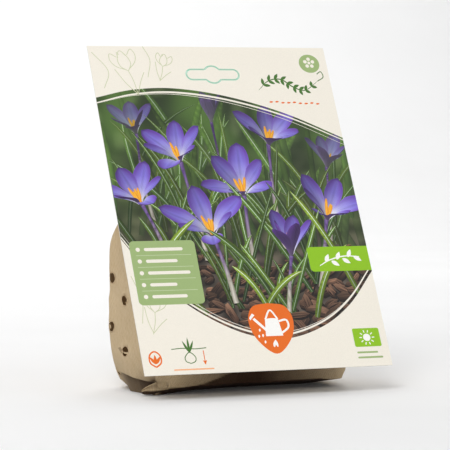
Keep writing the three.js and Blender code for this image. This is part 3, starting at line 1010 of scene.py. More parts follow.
rims, fill = visible_rims(), filling_points()
sheet_points = np.concatenate([CARD_CORNERS, rims.reshape(-1, 2), fill])
sheet_edges = [(0, 1), (1, 2), (2, 3), (3, 0)]
sheet_edges += [(4 + 2 * i, 5 + 2 * i) for i in range(len(rims))]
spots, _, faces, _, _, _ = delaunay_2d_cdt([Vector(p) for p in sheet_points.tolist()],
                                           sheet_edges, [], 0, 2e-3)
print_spots, print_faces = np.array([tuple(p) for p in spots]), np.array(faces)
centres = print_spots[print_faces].mean(axis=1)
centre_cells, _ = top_cells(centres)
kept = ~np.isin(cell_owner[centre_cells], list(cut_owners))
print_faces, centres, centre_cells = print_faces[kept], centres[kept], centre_cells[kept]
probes = print_spots[print_faces] * (1 - CORNER_INSET) + centres[:, None] * CORNER_INSET
corner_cells = top_cells(probes.reshape(-1, 2))[0]
home = np.repeat(centre_cells, 3)
same = cell_owner[corner_cells] == cell_owner[home]
spots_3 = np.where(same[:, None], print_spots[print_faces].reshape(-1, 2),
                   np.repeat(centres, 3, axis=0))
print_levels = inks_at(spots_3, np.where(same, corner_cells, home)).reshape(-1, 3, 3)
print_faces = print_faces.tolist()
print(len(rims), "rims and", len(fill), "points cut the print into", len(print_faces), "triangles")

# %% Wall the sheet's edges and close its back
def closed_board(spots, faces):
    """Front, walls and back of the board: points as (across, up, depth) and faces."""
    rim = open_edges(faces)
    used = sorted({i for f in faces for i in f})
    front = {old: new for new, old in enumerate(used)}
    edge_points = sorted({i for edge in rim for i in edge})
    local = {old: new for new, old in enumerate(edge_points)}
    behind = {old: len(used) + new for old, new in local.items()}
    points = ([(*spots[i], 0.0) for i in used]
              + [(*spots[i], CARD_THICKNESS) for i in edge_points])
    front_faces = [[front[i] for i in f] for f in faces]
    walls = [[front[b], front[a], behind[a], behind[b]] for a, b in rim]
    cells = delaunay_2d_cdt([Vector(spots[i]) for i in edge_points],
                            [(local[a], local[b]) for a, b in rim], [], 0, 1e-6)[2]
    backs = []
    for cell in cells:
        middle = spots[[edge_points[i] for i in cell]].mean(axis=0)
        if not any(inside_outline(middle, outline) for outline in cut_outlines):
            backs.append([behind[edge_points[i]] for i in reversed(cell)])
    return np.array(points), front_faces, walls, backs


def inside_outline(point, outline):
    """Even-odd test of one point against one outline."""
    x, y = point
    inside = False
    for (ax, ay), (bx, by) in zip(outline, np.roll(outline, -1, axis=0)):
        if (ay > y) != (by > y) and x < (bx - ax) * (y - ay) / (by - ay) + ax:
            inside = not inside
    return inside


board_points, front_faces, wall_faces, back_faces = closed_board(print_spots, print_faces)
print(len(front_faces), "front,", len(wall_faces), "wall and", len(back_faces), "back faces")

# %% [markdown]
# ### A place for every face in the baked picture
#
# When a part is exported, its materials are baked to one square picture for each piece.
# The print needs most of that square, so the board gets its own UV map: the front fills
# the left three quarters, the back shrinks into the strip beside it, and the walls lie in
# short rows above the back.

# %% Make the card
FRONT_SCALE, FRONT_EDGE, BACK_SCALE, BACK_LOW = 0.0049, 0.005, 0.0017, 0.02
STRIP_LEFT, STRIP_WIDTH = 0.735, 0.25
WALL_ROW, WALL_LOW, WALL_PITCH, WALL_STEP = 110.0, 0.42, 0.012, 0.004


def card_uvs():
    """A UV for each corner: fronts, then walls, then backs."""
    uvs = []
    for f in front_faces:
        uvs.extend((FRONT_EDGE + board_points[i][0] * FRONT_SCALE,
                    FRONT_EDGE + board_points[i][1] * FRONT_SCALE) for i in f)
    run = 0.0
    for f in wall_faces:
        length = float(np.linalg.norm(board_points[f[0]][:2] - board_points[f[1]][:2]))
        if run % WALL_ROW + length > WALL_ROW:
            run = (run // WALL_ROW + 1) * WALL_ROW
        u = STRIP_LEFT + (run % WALL_ROW) * STRIP_WIDTH / WALL_ROW
        v = WALL_LOW + (run // WALL_ROW) * WALL_PITCH
        reach = length * STRIP_WIDTH / WALL_ROW
        uvs.extend(((u + reach, v), (u, v), (u, v + WALL_STEP), (u + reach, v + WALL_STEP)))
        run += length
    for f in back_faces:
        uvs.extend((STRIP_LEFT + (CARD_WIDTH - board_points[i][0]) * BACK_SCALE,
                    BACK_LOW + board_points[i][1] * BACK_SCALE) for i in f)
    return np.array(uvs)


card_mesh = new_mesh("printed_card", [on_card(*p) for p in board_points],
                     front_faces + wall_faces + back_faces)
card_mesh.uv_layers.new(name="OFBake").data.foreach_set("uv", card_uvs().ravel())
inks = card_mesh.color_attributes.new("print", "FLOAT_COLOR", "CORNER")
rest = len(wall_faces) * 4 + len(back_faces) * 3
ink_values = np.concatenate([srgb(*np.clip(print_levels, 0, 255).reshape(-1, 3).T).T,
                             np.tile(srgb(*BOARD), (rest, 1))])
inks.data.foreach_set("color", np.concatenate([ink_values, np.ones((len(ink_values), 1))],
                                              axis=1).ravel())
card = add_object("printed_card", card_mesh)
print("card:", len(card_mesh.polygons), "faces")

# %% [markdown]
# ### The card's finishes
#
# Printed board has a faint sheen over its ink and bare pale fibre at its cut edges and on
# its back. The ink already lies at the corners of the faces, so the front only multiplies
# it by a fine speckle, and the rest of the board gets a plain second finish.

# %% Card finishes: printed front, bare edges and back
front_finish = Finish("card_print", Roughness=0.42, Specular_IOR_Level=0.4)
ink = front_finish.add("ShaderNodeAttribute", {"attribute_name": "print"})["Color"]
speckle = front_finish.spread(front_finish.noise(2600, 2), 0.3, 0.7, 0.955, 1.03)
front_finish.into("Base Color", front_finish.blend(1.0, ink, speckle, "MULTIPLY"))
front_finish.into("Normal", front_finish.bump(front_finish.noise(420, 3), 0.05, 0.0004))
front_finish.into("Roughness", front_finish.spread(front_finish.noise(90, 3), 0.3, 0.7, 0.36, 0.5))

board_finish = Finish("card_board", Roughness=0.8)
fibre = board_finish.noise(900, 5, 0.6, (1, 0.35, 1))
board_finish.into("Base Color", board_finish.blend(
    board_finish.spread(fibre, 0.3, 0.7), opaque(226, 223, 214), opaque(241, 239, 232)))
board_finish.into("Normal", board_finish.bump(fibre, 0.05, 0.0001))
for finish in (front_finish, board_finish):
    card_mesh.materials.append(finish.material)
kinds = np.zeros(len(card_mesh.polygons), np.int32)
kinds[len(front_faces):] = 1
card_mesh.polygons.foreach_set("material_index", kinds)
card_mesh.update()
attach(card, "root")
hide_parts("card")
print("the card wears", [material.name for material in card_mesh.materials])

# %% [markdown]
# ## The kraft paper bag
#
# The bag is one sheet of ribbed brown paper: a flat front and a rounded back, sides
# tucked between them, a folded bottom, and a mouth pressed flat behind the card. It could
# be one lofted solid, but paper shows how it was folded and filled. So the sheet is first
# drawn flat, with its punched holes, and then every point of it is carried onto the bag's
# outline at that height and moved a little in or out, which makes facets and creases.

# %% Outlines of the bag, level by level
# height, front y, then for one side: front fold x, tucked middle (x, y), back fold (x, y),
# then the back's middle y and the front fold's size, all in mm from the card's lower edge
CARD_LIFT, STAND_OFF = 14.5, 1.6
FLAT_FROM, HEM_FROM, BAG_TOP, FLAT_HALF = 114.5, 130.5, 149.5, 60.0


def behind_card(z):
    """The y of the bag's front panel where it lies on the card's back."""
    return (z - CARD_LIFT) * math.tan(CARD_LEAN) + STAND_OFF / math.cos(CARD_LEAN)


def flat_level(z, thickness):
    front = behind_card(z)
    return (z, front, FLAT_HALF, FLAT_HALF - 1.6, front + thickness / 2, FLAT_HALF,
            front + thickness, front + thickness, 0.5)


UPPER_LEVELS = [
    (9, 27, 57.2, 65, 53, 61.6, 75, 93.8, 7), (20, 26, 58, 63.6, 53, 64.4, 74.5, 97, 7),
    (34, 26, 58.4, 60, 53, 66.2, 74.2, 98.6, 7), (48, 26, 58.6, 57.6, 53, 67, 74, 99.6, 7),
    (62, behind_card(62), 59, 57.6, 54, 67.2, 74, 100, 7),
    (76, behind_card(76), 59.2, 57.8, 57, 66.9, 74.2, 98.8, 7),
    (85, behind_card(85), 59.4, 56.4, 59, 66, 74, 95, 7),
    (91, behind_card(91), 59.5, 52.5, 61, 62.4, 72.6, 87.6, 7),
    (99, behind_card(99), 59.6, 47, 60.5, 60.6, 67, 75.4, 6),
    (107.5, behind_card(107.5), 59.8, 49, 58.8, 60, 61.6, 65, 4),
    flat_level(FLAT_FROM, 2.4), flat_level(HEM_FROM, 2.4), flat_level(HEM_FROM + 0.4, 3.5),
    flat_level(BAG_TOP - 1.2, 3.6), flat_level(BAG_TOP, 2.0)]
LEFT_SWELL = ((9, 0.9), (20, 1.15), (34, 0.6), (48, 1.0), (62, 1.3), (91, 1.3), (107.5, 0))
RIGHT_LEVELS = np.array([(0, 50, 48, 54, 61, 52.5, 76, 84, 9),
                         (4.6, 28, 56, 61, 55, 58.5, 75.5, 90.5, 5), *UPPER_LEVELS])
LEFT_LEVELS = np.array([(0, 50, 57.5, 68.6, 46.5, 54, 76, 84, 1.6),
                        (4.6, 28, 57.0, 66.6, 50, 60.2, 75.5, 90.5, 1.6), *UPPER_LEVELS])
for tuck_or_fold in (3, 5):
    LEFT_LEVELS[2:, tuck_or_fold] += np.interp(LEFT_LEVELS[2:, 0], *zip(*LEFT_SWELL))
LEFT_LEVELS[2:4, 8] = 1.4, 3.0
FLOOR_FRONT = ((-62, 30.4), (-57, 31.5), (-44, 37.5), (-30, 44), (-12, 49), (10, 51), (62, 52))
# points of half an outline: on the front, round its fold, in the tuck, round the rear fold
# and on the back
FRONT_POINTS, FOLD_STEPS, TUCK_STEPS, REAR_STEPS, BACK_STEPS = 30, 6, 34, 5, 40
FLOOR_FOLD = 4.6


def level_at(levels, z):
    """One level's numbers at any height, rounded off a little between the given ones."""
    def straight(height):
        return np.array([np.interp(height, levels[:, 0], column) for column in levels.T])

    soft = np.clip(min((z - 10) / 8, (FLAT_FROM - z) / 8), 0, 1) * 6.0
    return sum(straight(z + soft * t) for t in (-1, -0.6, -0.2, 0.2, 0.6, 1)) / 6


def bend(a, b, c, steps):
    t = np.linspace(0, 1, steps + 1)[1:, None]
    a, b, c = (np.asarray(p, float) for p in (a, b, c))
    return a * (1 - t) ** 2 + b * 2 * t * (1 - t) + c * t ** 2


def half_outline(levels, z):
    """One side of the outline at a height, from the front's middle to the back's middle."""
    _, front, front_half, tuck_x, tuck_y, fold_x, fold_y, back, fold = level_at(levels, z)
    corner, tuck, rear = (np.array(p) for p in (
        (front_half, front), (tuck_x, tuck_y), (fold_x, fold_y)))
    start = np.array([front_half - fold, front])
    end = corner + (tuck - corner) * min(0.45, fold / 25 + 0.1)
    rear_start = tuck + (rear - tuck) * 0.86
    rear_end = np.array([fold_x * 0.955, fold_y + (back - fold_y) * 0.09])
    t = np.linspace(0, 1, BACK_STEPS + 1)[1:]
    panel = np.stack([rear_end[0] * (1 - t),
                      rear_end[1] + (back - rear_end[1]) * (1 - (1 - t) ** 2)], 1)
    straight = np.linspace((0, front), start, FRONT_POINTS)
    return np.concatenate([straight, bend(start, corner, end, FOLD_STEPS),
                           bend(end, tuck, rear_start, TUCK_STEPS),
                           bend(rear_start, rear, rear_end, REAR_STEPS), panel])


def outline_at(z):
    """The whole outline, from the back's middle round the left, the front and the right."""
    right, left = half_outline(RIGHT_LEVELS, z), half_outline(LEFT_LEVELS, z)
    return np.concatenate([(left * (-1, 1))[::-1], right[1:]])


heights = np.concatenate([np.linspace(0, FLOOR_FOLD, 12), np.linspace(5.0, 11, 13),
                          np.arange(12.4, BAG_TOP - 20, 1.5), [HEM_FROM, HEM_FROM + 0.4],
                          np.arange(HEM_FROM + 2, BAG_TOP - 1.2, 1.8),
                          [BAG_TOP - 1.2, BAG_TOP - 0.6, BAG_TOP]])
rings = np.array([outline_at(z) for z in heights])
WIDE_LEVEL = 48
steps = np.linalg.norm(np.diff(outline_at(WIDE_LEVEL), axis=0), axis=1)
across = np.concatenate([[0], np.cumsum(steps)])
across -= across[len(across) // 2]
print("sheet", round(across[-1] - across[0], 1), "x", BAG_TOP, "mm,", rings.shape[0], "levels")

# %% [markdown]
# ### Creases
#
# Filled paper doesn't bulge smoothly: it breaks into flat facets with sharp creases. A
# few hundred random points on the flat sheet each get a small height, and the triangles
# between them are the facets. Two such fields, one wide and one small, are added up, and
# each point of the sheet takes its height from them by a ray. Near the floor, at the flat
# mouth and at the back seam the heights are held back.

# %% Facets and holes on the flat sheet
hole_random = np.random.default_rng(5)
HALF_SHEET = across[-1]
HOLE_RADIUS, HOLE_PITCH, HOLE_LOW, RIM_POINTS = 2.9, 27.0, 8.0, 26
HOLE_ROOM = HOLE_RADIUS * 1.3


def facet_field(spacing, height, seed):
    """A triangulated field of random heights over the flat sheet."""
    scatter = np.random.default_rng(seed)
    spots = []
    for s in np.arange(-HALF_SHEET - spacing, HALF_SHEET + spacing, spacing):
        for z in np.arange(-spacing, BAG_TOP + spacing, spacing):
            spots.append((s, z) + scatter.uniform(-0.42, 0.42, 2) * spacing)
    cells = delaunay_2d_cdt([Vector(p) for p in spots], [], [], 0, 1e-5)[2]
    tall = scatter.uniform(-height, height, len(spots))
    return BVHTree.FromPolygons([Vector((*p, h)) for p, h in zip(spots, tall)], cells)


def field_height(field, s, z):
    hit = field.ray_cast(Vector((s, z, 10)), DOWN)[0]
    return 0.0 if hit is None else hit.z


wide_facets = facet_field(25.0, 1.15, 3)
small_facets = facet_field(9.5, 0.46, 4)


def sheet_place(index_from_front):
    """Distance across the sheet of a numbered point of the right half outline."""
    half = len(across) // 2
    return float(np.interp(index_from_front, range(half + 1), across[half:]))


FRONT_FOLD = sheet_place(FRONT_POINTS + FOLD_STEPS - 2)
back_fold = sheet_place(FRONT_POINTS + FOLD_STEPS + TUCK_STEPS + 2)
# two columns of holes lie in front of the back fold and stray a little, row by row, and two
# lie behind it; the last two holes of a side are in the front panel
OUTER_INSET, OUTER_STRAY = (6.5, 4.0, 4.0), (0.9, -0.6, -0.6)
INNER_INSET, INNER_STRAY = (19.6, 15.8, 17.6), (0.4, 1.2, 0)
hole_spots = []
for side in (-1, 1):
    for row in range(3):
        outer, inner = HOLE_LOW + row * HOLE_PITCH, HOLE_LOW + (row + 0.5) * HOLE_PITCH
        hole_spots += [(side * (back_fold - OUTER_INSET[row]), outer + OUTER_STRAY[row]),
                       (side * (back_fold - INNER_INSET[row]), inner + INNER_STRAY[row]),
                       (side * (back_fold + 24), inner), (side * (back_fold + 13), outer + 6)]
    hole_spots += [(side * 50, HOLE_LOW + HOLE_PITCH), (side * 40, HOLE_LOW + HOLE_PITCH / 2)]


def hole_rim(centre):
    """A hole's rim on the flat sheet: punched fast through soft paper, so never quite round."""
    angle = np.linspace(0, math.tau, RIM_POINTS, endpoint=False)
    oval, pear = hole_random.uniform(0.02, 0.09), hole_random.uniform(0.03, 0.1)
    first_turn, second_turn = hole_random.uniform(0, math.tau, 2)
    reach = (1 + oval * np.cos(2 * (angle - first_turn)) + pear * np.cos(angle - second_turn) ** 3
             + 0.03 * np.sin(5 * angle + second_turn))
    # the bottom's fold half closes the lowest hole
    radius = HOLE_RADIUS * (0.6 if centre[1] < 10 else 1)
    return np.asarray(centre) + radius * reach[:, None] * np.stack(
        [np.cos(angle), np.sin(angle)], 1)


hole_rims = [hole_rim(centre) for centre in hole_spots]
SIDE_LAST = back_fold + 2.0
print(len(hole_spots), "holes,", 2 * HOLE_RADIUS, "mm wide, punched through the flat sheet")

# %% [markdown]
# ### Carrying the sheet
#
# A cloth simulation could fold the sheet, but it would hardly end on the CAD's outline. So
# the outlines are kept as a table, and each point of the flat sheet is looked up in it by
# its height and its place across. The painted shade under its folds and in the card's shadow
# follows from the same places.

# %% Carry the flat sheet onto the bag
def table_lookup(table, s, z):
    """Bilinear look-up of a (levels, across, k) table at points of the flat sheet."""
    column = np.interp(s, across, np.arange(len(across)))
    row = np.interp(z, heights, np.arange(len(heights)))
    i = np.minimum(row.astype(int), len(heights) - 2)
    j = np.minimum(column.astype(int), len(across) - 2)
    u, v = (row - i)[:, None], (column - j)[:, None]
    return ((table[i, j] * (1 - v) + table[i, j + 1] * v) * (1 - u)
            + (table[i + 1, j] * (1 - v) + table[i + 1, j + 1] * v) * u)


# the crease above the tucked flap of the left side: y and height, from the front to the back
SIDE_CREASE = ((28, 8.0), (33, 7.7), (38, 8.2), (45, 8.6), (51, 9.4), (60, 9.9), (74, 10.0))
shape_table = np.concatenate([rings, np.broadcast_to(heights[:, None, None],
                                                     (*rings.shape[:2], 1))], axis=2)
along_s, along_z = np.gradient(shape_table, axis=1), np.gradient(shape_table, axis=0)
normal_table = np.cross(along_s, along_z)
normal_table /= np.maximum(np.linalg.norm(normal_table, axis=2, keepdims=True), 1e-9)


def fold_bottom(s, points):
    """Draw the bottom's front fold in towards the floor, further back on the right."""
    x, y, z = points.T
    edge = np.interp(x, *zip(*FLOOR_FRONT))
    low = np.clip(1 - z / FLOOR_FOLD, 0, 1)
    front_part = ramp(np.abs(s), FRONT_FOLD + 12, -12)
    points[:, 1] = y + front_part * low * (edge - 50.0)
    inward = np.interp(y, (28, 50, 66, 74), (3.0, 2.2, 1.2, 0.3))
    points[:, 0] = x + ramp(below_crease(x, y, z), 0, 0.9) * inward
    ridge = bell(x, -55.3, 0.8) * ramp(z, 12, -3) * ramp(z, 3.5, 1)
    points[:, 1] -= 0.6 * ridge * (y < 40)
    return points


def below_crease(x, y, z):
    """How far a point of the left side lies below the crease of its tucked flap, or 0."""
    left = (x < -50) & (y < 74)
    return np.where(left, np.clip(np.interp(y, *zip(*SIDE_CREASE)) - z, 0, None), 0)


# across the front: the painted shadow of the card on the paper, and the height of the fold above
# its underside, below which painted shade darkens the paper
PANEL_SHADE = ((-57, -50, -45, -40, -36, -27, -21, -15, -9, 6, 12, 18, 30, 42, 51, 60),
               (0, 0, 0.08, 0.24, 0.34, 0.5, 0.6, 0.8, 0.985, 0.98, 0.93, 0.87, 0.74, 0.56,
                0.34, 0.1))
UNDER_FOLD = ((-53, -48, -40, -29, -23, -17, -10, 0, 8, 18, 42, 51),
              (3.3, 3.9, 4.4, 5.9, 7.8, 9.9, 12, 10, 6.5, 5.9, 5.9, 4.6))


def painted_shade(s, z, points):
    """Painted shade, 0 to 1: the paper is darkened where it lies in shade under folds, in recesses
    and in the card's shadow.
    """
    x, y, high = points.T
    away = np.abs(s)
    # painted shade on the left side, under the crease of its tucked flap
    unshaded = 1 - (np.interp(below_crease(x, y, high), (0, 0.7, 3, 8), (0, 0.84, 0.8, 0.72))
                 * np.interp(y, (40, 54, 62, 68, 73), (1, 0.94, 0.66, 0.2, 0))
                 * (away > FRONT_FOLD - 1))
    # painted shadow of the card on the front's lower part, and painted shade on the underside of
    # its fold
    panel = np.interp(x, *PANEL_SHADE) * ramp(z, 17, -5)
    beneath = 0.97 * ramp(np.interp(x, *UNDER_FOLD) - high, 0, 0.8) * ramp(x, -56, 4)
    unshaded *= 1 - ramp(away, FRONT_FOLD, -1.2) * np.maximum(panel, beneath)
    # a painted shadow on the back just under the hem
    under_hem = ramp(away, SIDE_LAST, 4) * (z < HEM_FROM + 1)
    unshaded *= 1 - 0.3 * np.exp(-np.clip(HEM_FROM - 1 - z, 0, 30) / 1.6) * under_hem
    # painted shade in the pocket over the folded corner, on the left side towards the floor, and
    # beside the front fold
    unshaded *= 1 - 0.92 * bell(x, -57.2, 1.3) * bell(high, 7.9, 1.3) * (y < 34)
    unshaded *= 1 - 0.16 * (x < -50) * (y < 74) * ramp(high, 24, -14)
    beside_fold = ramp(x, -63.5, 6.5) * (x < -56.6) * (y < 42)
    unshaded *= 1 - 0.6 * beside_fold * ramp(high, 15, -6)
    return 1 - unshaded


def bag_points(s, z):
    """Points of the flat sheet, creased and carried onto the bag, in mm."""
    base, normal = table_lookup(shape_table, s, z), table_lookup(normal_table, s, z)
    heights_here = np.array([field_height(wide_facets, *p) + field_height(small_facets, *p)
                             for p in zip(s, z)])
    calm = np.clip(z / 9, 0.12, 1) * np.clip((FLAT_FROM + 2 - z) / 12, 0.3, 1)
    behind = ramp(np.abs(s), SIDE_LAST, 12)
    calm *= 1 + 0.8 * behind
    heights_here += 0.75 * (np.sin(s * 0.4 + 1.4 * np.sin(s * 0.13)) * bell(z, 104, 12) * behind)
    calm *= ramp(z, BAG_TOP - 1.5, -6) * ramp(np.abs(s), HALF_SHEET, -6)
    points = fold_bottom(s, base + normal * (heights_here * calm)[:, None])
    points[:, 1] = np.maximum(points[:, 1], behind_card(points[:, 2]) + 0.02)
    points[:, 2] = np.clip(points[:, 2], 0, BAG_TOP)
    points[z <= 0, 2] = 0.0
    return points


def flat_sheet():
    """Triangulate the flat sheet with its holes left open."""
    s, z = np.meshgrid(across, heights)
    spots = np.column_stack([s.ravel(), z.ravel()])
    centres = np.array(hole_spots)
    near = np.min(np.linalg.norm(spots[:, None] - centres[None], axis=2), axis=1)
    spots = spots[near > HOLE_ROOM]
    points, edges = spots.tolist(), []
    for rim in hole_rims:
        start = len(points)
        points.extend(rim.tolist())
        edges += [(start + i, start + (i + 1) % RIM_POINTS) for i in range(RIM_POINTS)]
    spots, _, cells, _, _, _ = delaunay_2d_cdt([Vector(p) for p in points], edges, [], 0, 1e-3)
    spots, cells = np.array([tuple(p) for p in spots]), np.array(cells)
    middle = spots[cells].mean(axis=1)
    away = np.linalg.norm(middle[:, None] - centres[None], axis=2)
    nearest = away.argmin(axis=1)
    kept = [away[i, nearest[i]] > HOLE_ROOM
            or not inside_outline(middle[i], hole_rims[nearest[i]]) for i in range(len(cells))]
    return spots, cells[np.array(kept)]


sheet_spots, sheet_cells = flat_sheet()
bag_spots = bag_points(sheet_spots[:, 0], sheet_spots[:, 1])
print("flat sheet", len(sheet_cells), "triangles")

# %% [markdown]
# ### The paper's finish
#
# Ribbed kraft is tan paper with fine parallel lines, short fibres and small flecks. A sine
# wave across the sheet's own UV map gives the lines, and noise on the same map the fibres,
# so both bend with every fold, as they couldn't if they were projected from outside.

# %% Kraft paper
RIB_PITCH = 1.35 * MM
kraft = Finish("kraft_ribbed", Roughness=0.86, Specular_IOR_Level=0.25)
sheet_uv = kraft.add("ShaderNodeUVMap", {"uv_map": "paper"})["UV"]
drift = kraft.noise(60, 2, uv="paper")
across_sheet = kraft.add("ShaderNodeSeparateXYZ", Vector=sheet_uv)["X"]
phase = kraft.math("MULTIPLY", across_sheet, math.tau / RIB_PITCH)
phase = kraft.math("ADD", phase, kraft.math("MULTIPLY", drift, 5.0))
rib = kraft.math("SINE", phase)
fibre = kraft.noise(900, 4, 0.6, (1, 0.25, 1), "paper")
fleck = kraft.spread(kraft.noise(1700, 2, 0.5, (1, 0.4, 1), "paper"), 0.62, 0.72)
cloud = kraft.spread(kraft.noise(28, 4, 0.55), 0.3, 0.7)
tan_tone = kraft.blend(cloud, opaque(195, 171, 134), opaque(211, 189, 154))
# painted shade: where the paper lies in shade, its shade attribute blends the tan towards a dark
# brown
painted_shade_factor = kraft.add("ShaderNodeAttribute", {"attribute_name": "painted_shade"})["Fac"]
for share, levels in ((kraft.spread(rib, -1, 1, 0.0, 0.46), (176, 151, 115)),
                      (kraft.spread(fibre, 0.35, 0.65, 0.0, 0.3), (222, 204, 173)),
                      (kraft.math("MULTIPLY", fleck, 0.35), (150, 118, 82)),
                      (painted_shade_factor, (44, 20, 4))):
    tan_tone = kraft.blend(share, tan_tone, opaque(*levels))
kraft.into("Base Color", tan_tone)
rib_bump = kraft.bump(rib, 0.45, 0.0002)
kraft.into("Normal", kraft.bump(fibre, 0.25, 0.0003, Normal=rib_bump))
# a painted glow: thin paper lets a little light through, so a faint emission makes the inside glow
# brown where a hole shows it
kraft_inside = kraft.material.copy()
kraft_inside.name = "kraft_inside"
inner_shader = next(n for n in kraft_inside.node_tree.nodes if n.type == "BSDF_PRINCIPLED")
inner_shader.inputs["Emission Color"].default_value = (0.75, 0.42, 0.17, 1)
inner_shader.inputs["Emission Strength"].default_value = 0.028
print("kraft paper has", len(kraft.nodes), "nodes")

# %% [markdown]
# ### From sheet to bag
#
# The carried sheet is still open. Its two long edges meet at the back and are welded, its
# bottom and its mouth are closed with triangles, and a Solidify modifier makes it thick.
# The torn bits, the folded corner and the lap are thickened in the same way, so one helper
# makes them all.

# %% Helpers for pieces of paper
def row_frame(points):
    """From mm behind the card's lower edge to the shared frame's metres."""
    return np.asarray(points) * MM + (0, card_foot.y, 0)


def apply_modifiers(piece):
    """Replace a piece's mesh with its evaluated one and drop its modifiers."""
    name = piece.data.name
    evaluated = piece.evaluated_get(bpy.context.evaluated_depsgraph_get())
    mesh = bpy.data.meshes.new_from_object(evaluated)
    piece.modifiers.clear()
    piece.data = mesh
    mesh.name = name


def paper_piece(name, points, faces, dark, thickness, offset, uv=None, inside=None, rounding=0):
    """A piece of kraft paper: points in mm, the painted shade at each one, and a UV for each
    corner.
    """
    mesh = new_mesh(name, row_frame(points).tolist(), faces)
    if uv is not None:
        mesh.uv_layers.new(name="paper").data.foreach_set("uv", uv.ravel())
    mesh.attributes.new("painted_shade", "FLOAT", "POINT").data.foreach_set(
        "value", np.asarray(dark, np.float32))
    mesh.materials.append(kraft.material)
    if inside:
        mesh.materials.append(inside)
    piece = add_object(name, mesh)
    thick = piece.modifiers.new("paper", "SOLIDIFY")
    thick.thickness, thick.offset = thickness * MM, offset
    thick.material_offset = 1 if inside else 0
    if rounding:
        soft = piece.modifiers.new("rounding", "SUBSURF")
        soft.levels = soft.render_levels = rounding
    apply_modifiers(piece)
    print(name, len(piece.data.polygons), "faces")
    return piece


# %% Join the sheet's edges, close its bottom and mouth, and give it a thickness
WELD_DISTANCE, RING_DISTANCE = 0.001, 0.02
FRONT_LEAN, SIDE_LEAN, BOTTOM_PULL, PULL_HEIGHT = -0.6, 0.35, 12, 16


def close_ring(spots, cells, height):
    """Fill the ring of open edges at one height with triangles."""
    rim = [(a, b) for a, b in open_edges(cells)
           if all(abs(spots[i][2] - height) < RING_DISTANCE for i in (a, b))]
    names = sorted({i for e in rim for i in e})
    local = {name: k for k, name in enumerate(names)}
    filled = delaunay_2d_cdt([Vector(spots[i][:2]) for i in names],
                             [(local[a], local[b]) for a, b in rim], [], 1, 1e-6)
    keep = [names[o[0]] for o in filled[3]]
    upward = height > 1
    return [[keep[i] for i in (c if upward else c[::-1])] for c in filled[2]]


def weld(spots, cells):
    """Merge points that share a place, as on the sheet's two meeting edges."""
    keys, where = np.unique(np.round(spots / WELD_DISTANCE).astype(np.int64), axis=0,
                            return_inverse=True)
    where = where.ravel()
    first = np.zeros(len(keys), int)
    first[where[::-1]] = np.arange(len(spots))[::-1]
    cells = where[np.array(cells)]
    cells = cells[(cells[:, 0] != cells[:, 1]) & (cells[:, 1] != cells[:, 2])
                  & (cells[:, 0] != cells[:, 2])]
    return first, cells


first, cells = weld(bag_spots, sheet_cells)
spots, flat = bag_spots[first], sheet_spots[first]
cells = cells.tolist()
cells += close_ring(spots, cells, 0.0) + close_ring(spots, cells, BAG_TOP)
loops = np.array(cells).ravel()
uv = flat[loops] * MM
seam = np.abs(flat[loops][:, 0]) > HALF_SHEET - 0.01
corner_side = np.repeat(flat[np.array(cells)].mean(axis=1)[:, 0], 3)
uv[seam, 0] = np.sign(corner_side[seam]) * HALF_SHEET * MM
# folding the bottom pulls the sheet askew, so the ribs lean between the folds
loop_z, at_side = flat[loops][:, 1], np.abs(corner_side)
side_lean = SIDE_LEAN * loop_z + BOTTOM_PULL * (1 - np.exp(-loop_z / PULL_HEIGHT))
uv[:, 0] += MM * np.where(at_side < FRONT_FOLD, FRONT_LEAN * loop_z, np.where(
    at_side < back_fold, -np.sign(corner_side) * side_lean, 0))
shell = paper_piece("paper_bag", spots, cells, painted_shade(flat[:, 0], flat[:, 1], spots), 0.3, -1,
                    uv=uv, inside=kraft_inside)
shell.data.shade_smooth()
corners = np.array([v.co for v in shell.data.vertices])
print("bag's box", np.round(corners.min(axis=0), 4), np.round(corners.max(axis=0), 4))
print("outer and inner faces:", [sum(p.material_index == k for p in shell.data.polygons)
                                 for k in (0, 1)])
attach(shell, "root")
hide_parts("bag")

# %% [markdown]
# ## What repeats: rims, teeth and dots of glue
#
# Three things on this pack repeat: the burr round every punched hole, the teeth of the
# pinked hem, and the dots of hot melt behind the card. Placing each copy by hand would
# work once, but a Geometry Nodes tree keeps its sizes as named inputs, so a change of
# pitch or width redraws all of them. The trees end in Realize Instances and Set Material,
# because an export drops instances.

# %% A helper that builds Geometry Nodes trees
class Tree(NodeTree):
    """A Geometry Nodes tree with one geometry in, one out and named sizes."""

    def __init__(self, name):
        self.tree = bpy.data.node_groups.new(name, "GeometryNodeTree")
        super().__init__(self.tree)
        for way in ("INPUT", "OUTPUT"):
            self.tree.interface.new_socket("Geometry", in_out=way, socket_type="NodeSocketGeometry")
        self.start, self.end = (self.nodes.new(kind) for kind in (
            "NodeGroupInput", "NodeGroupOutput"))
        self.shape = self.start.outputs["Geometry"]

    def size(self, name, value, kind="NodeSocketFloat"):
        socket = self.tree.interface.new_socket(name, in_out="INPUT", socket_type=kind)
        socket.default_value = value
        return self.start.outputs[name]

    def join(self, *parts):
        node = self.nodes.new("GeometryNodeJoinGeometry")
        for part in parts:
            self.links.new(part, node.inputs[0])
        return node.outputs[0]

    def grow(self, name, material, mesh=None, **sizes):
        """Finish the tree, run it on a mesh and keep the result as a plain piece."""
        joined = self.add("GeometryNodeRealizeInstances", Geometry=self.shape)[0]
        dressed = self.add("GeometryNodeSetMaterial", Geometry=joined, Material=material)[0]
        self.links.new(dressed, self.end.inputs["Geometry"])
        piece = add_object(name, mesh or bpy.data.meshes.new(name))
        modifier = piece.modifiers.new(self.tree.name, "NODES")
        modifier.node_group = self.tree
        for socket in self.tree.interface.items_tree:
            if socket.in_out == "INPUT" and socket.name in sizes:
                modifier[socket.identifier] = sizes[socket.name]
        apply_modifiers(piece)
        print(name, len(piece.data.polygons), "faces")
        return piece

# %% [markdown]
# ### Burrs
#
# A punch leaves a frayed rim round each hole. It could be painted, but a hole's rim is seen
# in outline. So a thin, slightly shaken tube follows every rim, and at a few random points
# a sliver stands out of it.

